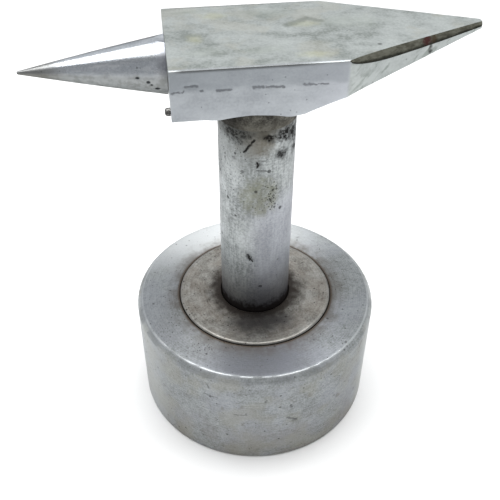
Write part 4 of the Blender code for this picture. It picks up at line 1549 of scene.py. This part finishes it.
def make_socket_screw():
    """Socket-head screw with a knurled head, seen from under the base."""
    low = SCREW_LOW.z
    head_top = WASHER_LOW.z - GAP
    knurl_low = low + SMALL_EDGE
    knurl_high = head_top - SMALL_EDGE
    start = head_top + 4.0 * MM
    top = SCREW_HIGH.z
    end = top - SMALL_EDGE
    rim = [(SCREW_HEAD_RADIUS, knurl_low), (SCREW_HEAD_RADIUS, knurl_high)]
    profile = [
        (0.0, low),
        (SCREW_HEAD_RADIUS - SMALL_EDGE, low),
        *densify(rim, 0.5 * MM, closed=False),
        (SCREW_HEAD_RADIUS - SMALL_EDGE, head_top),
        (THREAD_RADIUS, head_top),
        *threaded(THREAD_RADIUS, start, end),
        (THREAD_RADIUS - SMALL_EDGE, top),
        (0.0, top),
    ]
    thread = thread_shape(THREAD_RADIUS, start, end)

    def shape(angle, radius, height):
        if abs(radius - SCREW_HEAD_RADIUS) < 1e-6 and knurl_low < height < knurl_high:
            return radius - KNURL_DEPTH * (round(angle / (2.0 * math.pi) * SCREW_STEPS) % 2), height
        return thread(angle, radius, height)

    mesh_data = lathe(profile, SCREW_STEPS, closed=False, shape=shape)
    depth = 2.5 * MM
    below = 2.0 * MM
    corner = 4.0 * MM / math.sqrt(3.0)
    turn = Matrix.Rotation(math.radians(SOCKET_TURN), 4, "Z")
    place = Matrix.Translation((0.0, 0.0, low + (depth - below) / 2.0))
    mesh_data = cut_away(mesh_data, [rod(corner, depth + below, 6, place @ turn)])
    metal = small_metal("black_oxide")
    make_piece("socket_screw", mesh_data, [metal], "hold_down_screw", sharp_degrees=25.0)


def make_split_washer():
    """Split spring washer with rounded edges and slightly offset ends."""
    edge = 0.15 * MM
    inner = 2.9 * MM + edge
    outer = WASHER_HIGH.y - edge
    thickness = 1.2 * MM
    rise = 0.3 * MM
    steps = 96
    half_gap = math.radians(7.0)
    mesh_data = bmesh.new()
    loops = []
    for step in range(steps + 1):
        share = step / steps
        angle = half_gap + (2.0 * math.pi - 2.0 * half_gap) * share
        low = WASHER_LOW.z + rise * share
        high = low + thickness - edge
        outline = [
            *arc(inner, low + edge, edge, 180.0, 270.0, 2),
            *arc(outer, low + edge, edge, 270.0, 360.0, 2),
            *arc(outer, high, edge, 0.0, 90.0, 2),
            *arc(inner, high, edge, 90.0, 180.0, 2),
        ]
        points = [(r * math.cos(angle), r * math.sin(angle), z) for r, z in outline]
        loops.append([mesh_data.verts.new(point) for point in points])
    for first, second in zip(loops, loops[1:]):
        bridge(mesh_data, first, second)
    mesh_data.faces.new(loops[0])
    mesh_data.faces.new(loops[-1])
    bmesh.ops.recalc_face_normals(mesh_data, faces=mesh_data.faces)
    metal = small_metal("washer_steel")
    make_piece("split_washer", mesh_data, [metal], "spring_washer", sharp_degrees=30.0)


def make_slotted_nub():
    """The small slotted screw low on the head's end face."""
    length = NUB_HIGH.x - NUB_LOW.x
    head = HEAD_END_X - JOINT_GAP - NUB_LOW.x
    round_edge = 0.5 * MM
    profile = [
        (0.0, 0.0),
        (NUB_SHANK, 0.0),
        (NUB_SHANK, length - head),
        (NUB_RADIUS, length - head),
        *arc(NUB_RADIUS - round_edge, length - round_edge, round_edge, 0.0, 90.0, 4),
        (0.0, length),
    ]
    mesh_data = lathe(densify(profile, spacing=0.2 * MM, closed=False), segments=40, closed=False)
    lay_down(mesh_data, -90.0, NUB_HIGH.x, NUB_Y, NUB_Z)
    slot = bmesh.new()
    beyond = 1.0 * MM
    place = Matrix.Translation((NUB_LOW.x + (SLOT_DEPTH - beyond) / 2.0, NUB_Y, NUB_Z))
    size = Matrix.Diagonal((SLOT_DEPTH + beyond, 4.0 * NUB_RADIUS, SLOT_WIDTH, 1.0))
    bmesh.ops.create_cube(slot, size=1.0, matrix=place @ size)
    mesh_data = cut_away(mesh_data, [slot])
    metal = small_metal("nub_steel")
    make_piece("slotted_end_screw", mesh_data, [metal], "end_screw", sharp_degrees=30.0)


# ---------------------------------------------------------------- stage, light and camera
FLOOR_HALF = 4.0
FLOOR_GREY = (0.845, 0.845, 0.845)
FLOOR_PALE = (0.875, 0.875, 0.87)
WORLD_COLOUR = (0.97, 0.985, 1.0)
WORLD_FRONT = 0.52
WORLD_BACK = 1.04
WORLD_SIDEWAYS = 0.45
WORLD_CEILING = 0.50
SOFTBOX_RADIANCE = 6.4
SOFTBOX_WIDTH = 0.50
SOFTBOX_DEPTH = 0.30
SOFTBOX_Y = 0.045
SOFTBOX_Z = 0.45
CAMERA_AZIMUTH = -0.1432
CAMERA_ELEVATION = 0.7174
CAMERA_DISTANCE = 175.83 * MM
CAMERA_TARGET = Vector((-1.329, 0.0, 43.506)) * MM
CAMERA_ROLL = 0.0060
CAMERA_LENS = 51.705
CAMERA_SENSOR = 36.0


def make_floor():
    """A wide plain floor, pale and matt."""
    mesh = bpy.data.meshes.new("floor")
    half = FLOOR_HALF
    corners = [(-half, -half, 0.0), (half, -half, 0.0), (half, half, 0.0), (-half, half, 0.0)]
    mesh.from_pydata(corners, [], [(0, 1, 2, 3)])
    floor = bpy.data.objects.new("floor", mesh)
    bpy.context.scene.collection.objects.link(floor)
    paint = Paint("floor_white", metallic=0.0)
    paint.undercoat(paint.grain(40.0, detail=2.0), (0.3, FLOOR_GREY), (0.7, FLOOR_PALE))
    values = {"Base Color": paint.colour, "Roughness": 0.8, "Specular IOR Level": 0.2}
    paint.fill(paint.shader, values)
    mesh.materials.append(paint.material)


def make_world():
    """A soft room: lighter behind the anvil, darker in front, pale to the eye."""
    world = bpy.data.worlds.new("studio")
    bpy.context.scene.world = world
    world.use_nodes = True
    graph = Graph(world.node_tree)
    x, y, z = graph.split(graph.new("ShaderNodeTexCoord").outputs["Generated"])
    aside = graph.math("ABSOLUTE", x)
    aslant = graph.math("MULTIPLY_ADD", aside, WORLD_SIDEWAYS, third=y)
    depth = graph.ease(aslant, -0.5, 0.7, WORLD_FRONT, WORLD_BACK)
    ceiling = graph.ease(z, 0.60, 0.76, 1.0, WORLD_CEILING)
    room = world.node_tree.nodes["Background"]
    graph.fill(room, {"Color": WORLD_COLOUR, "Strength": graph.times(depth, ceiling)})
    seen = graph.new("ShaderNodeBackground", {"Color": (1.0, 1.0, 1.0), "Strength": 1.0})
    to_eye = graph.new("ShaderNodeLightPath").outputs["Is Camera Ray"]
    mix = graph.new("ShaderNodeMixShader", {0: to_eye, 1: room.outputs[0], 2: seen.outputs[0]})
    graph.fill(world.node_tree.nodes["World Output"], {"Surface": mix.outputs[0]})


def make_softbox():
    """A soft rectangular lamp above the anvil, a little behind it, that shines straight down."""
    lamp = bpy.data.lights.new("softbox", "AREA")
    lamp.shape = "RECTANGLE"
    lamp.size = SOFTBOX_WIDTH
    lamp.size_y = SOFTBOX_DEPTH
    lamp.energy = SOFTBOX_RADIANCE * math.pi * SOFTBOX_WIDTH * SOFTBOX_DEPTH
    light = bpy.data.objects.new("softbox", lamp)
    bpy.context.scene.collection.objects.link(light)
    light.location = (0.0, SOFTBOX_Y, SOFTBOX_Z)
    light.rotation_mode = "QUATERNION"
    light.rotation_quaternion = Vector((0.0, 0.0, -SOFTBOX_Z)).to_track_quat("-Z", "Y")


def make_camera():
    """The camera, turned round the anvil by azimuth and lifted by elevation, in radians."""
    level = math.cos(CAMERA_ELEVATION)
    across = math.sin(CAMERA_AZIMUTH) * level
    ahead = -math.cos(CAMERA_AZIMUTH) * level
    back = Vector((across, ahead, math.sin(CAMERA_ELEVATION)))
    data = bpy.data.cameras.new("camera")
    data.lens = CAMERA_LENS
    data.sensor_width = CAMERA_SENSOR
    data.clip_start = 0.01
    data.clip_end = 20.0
    camera = bpy.data.objects.new("camera", data)
    bpy.context.scene.collection.objects.link(camera)
    camera.location = CAMERA_TARGET + back * CAMERA_DISTANCE
    look = (-back).to_track_quat("-Z", "Y").to_matrix().to_4x4()
    camera.rotation_mode = "QUATERNION"
    camera.rotation_quaternion = (look @ Matrix.Rotation(CAMERA_ROLL, 4, "Z")).to_quaternion()
    bpy.context.scene.camera = camera


bpy.context.scene.view_settings.view_transform = "Standard"
make_camera()
make_world()
make_softbox()
make_floor()
make_turned_base()
make_foot_disc()
make_post_bar()
make_weld_fillet()
make_anvil_head()
make_conical_horn()
make_slotted_nub()
make_horn_stud()
make_socket_screw()
make_split_washer()
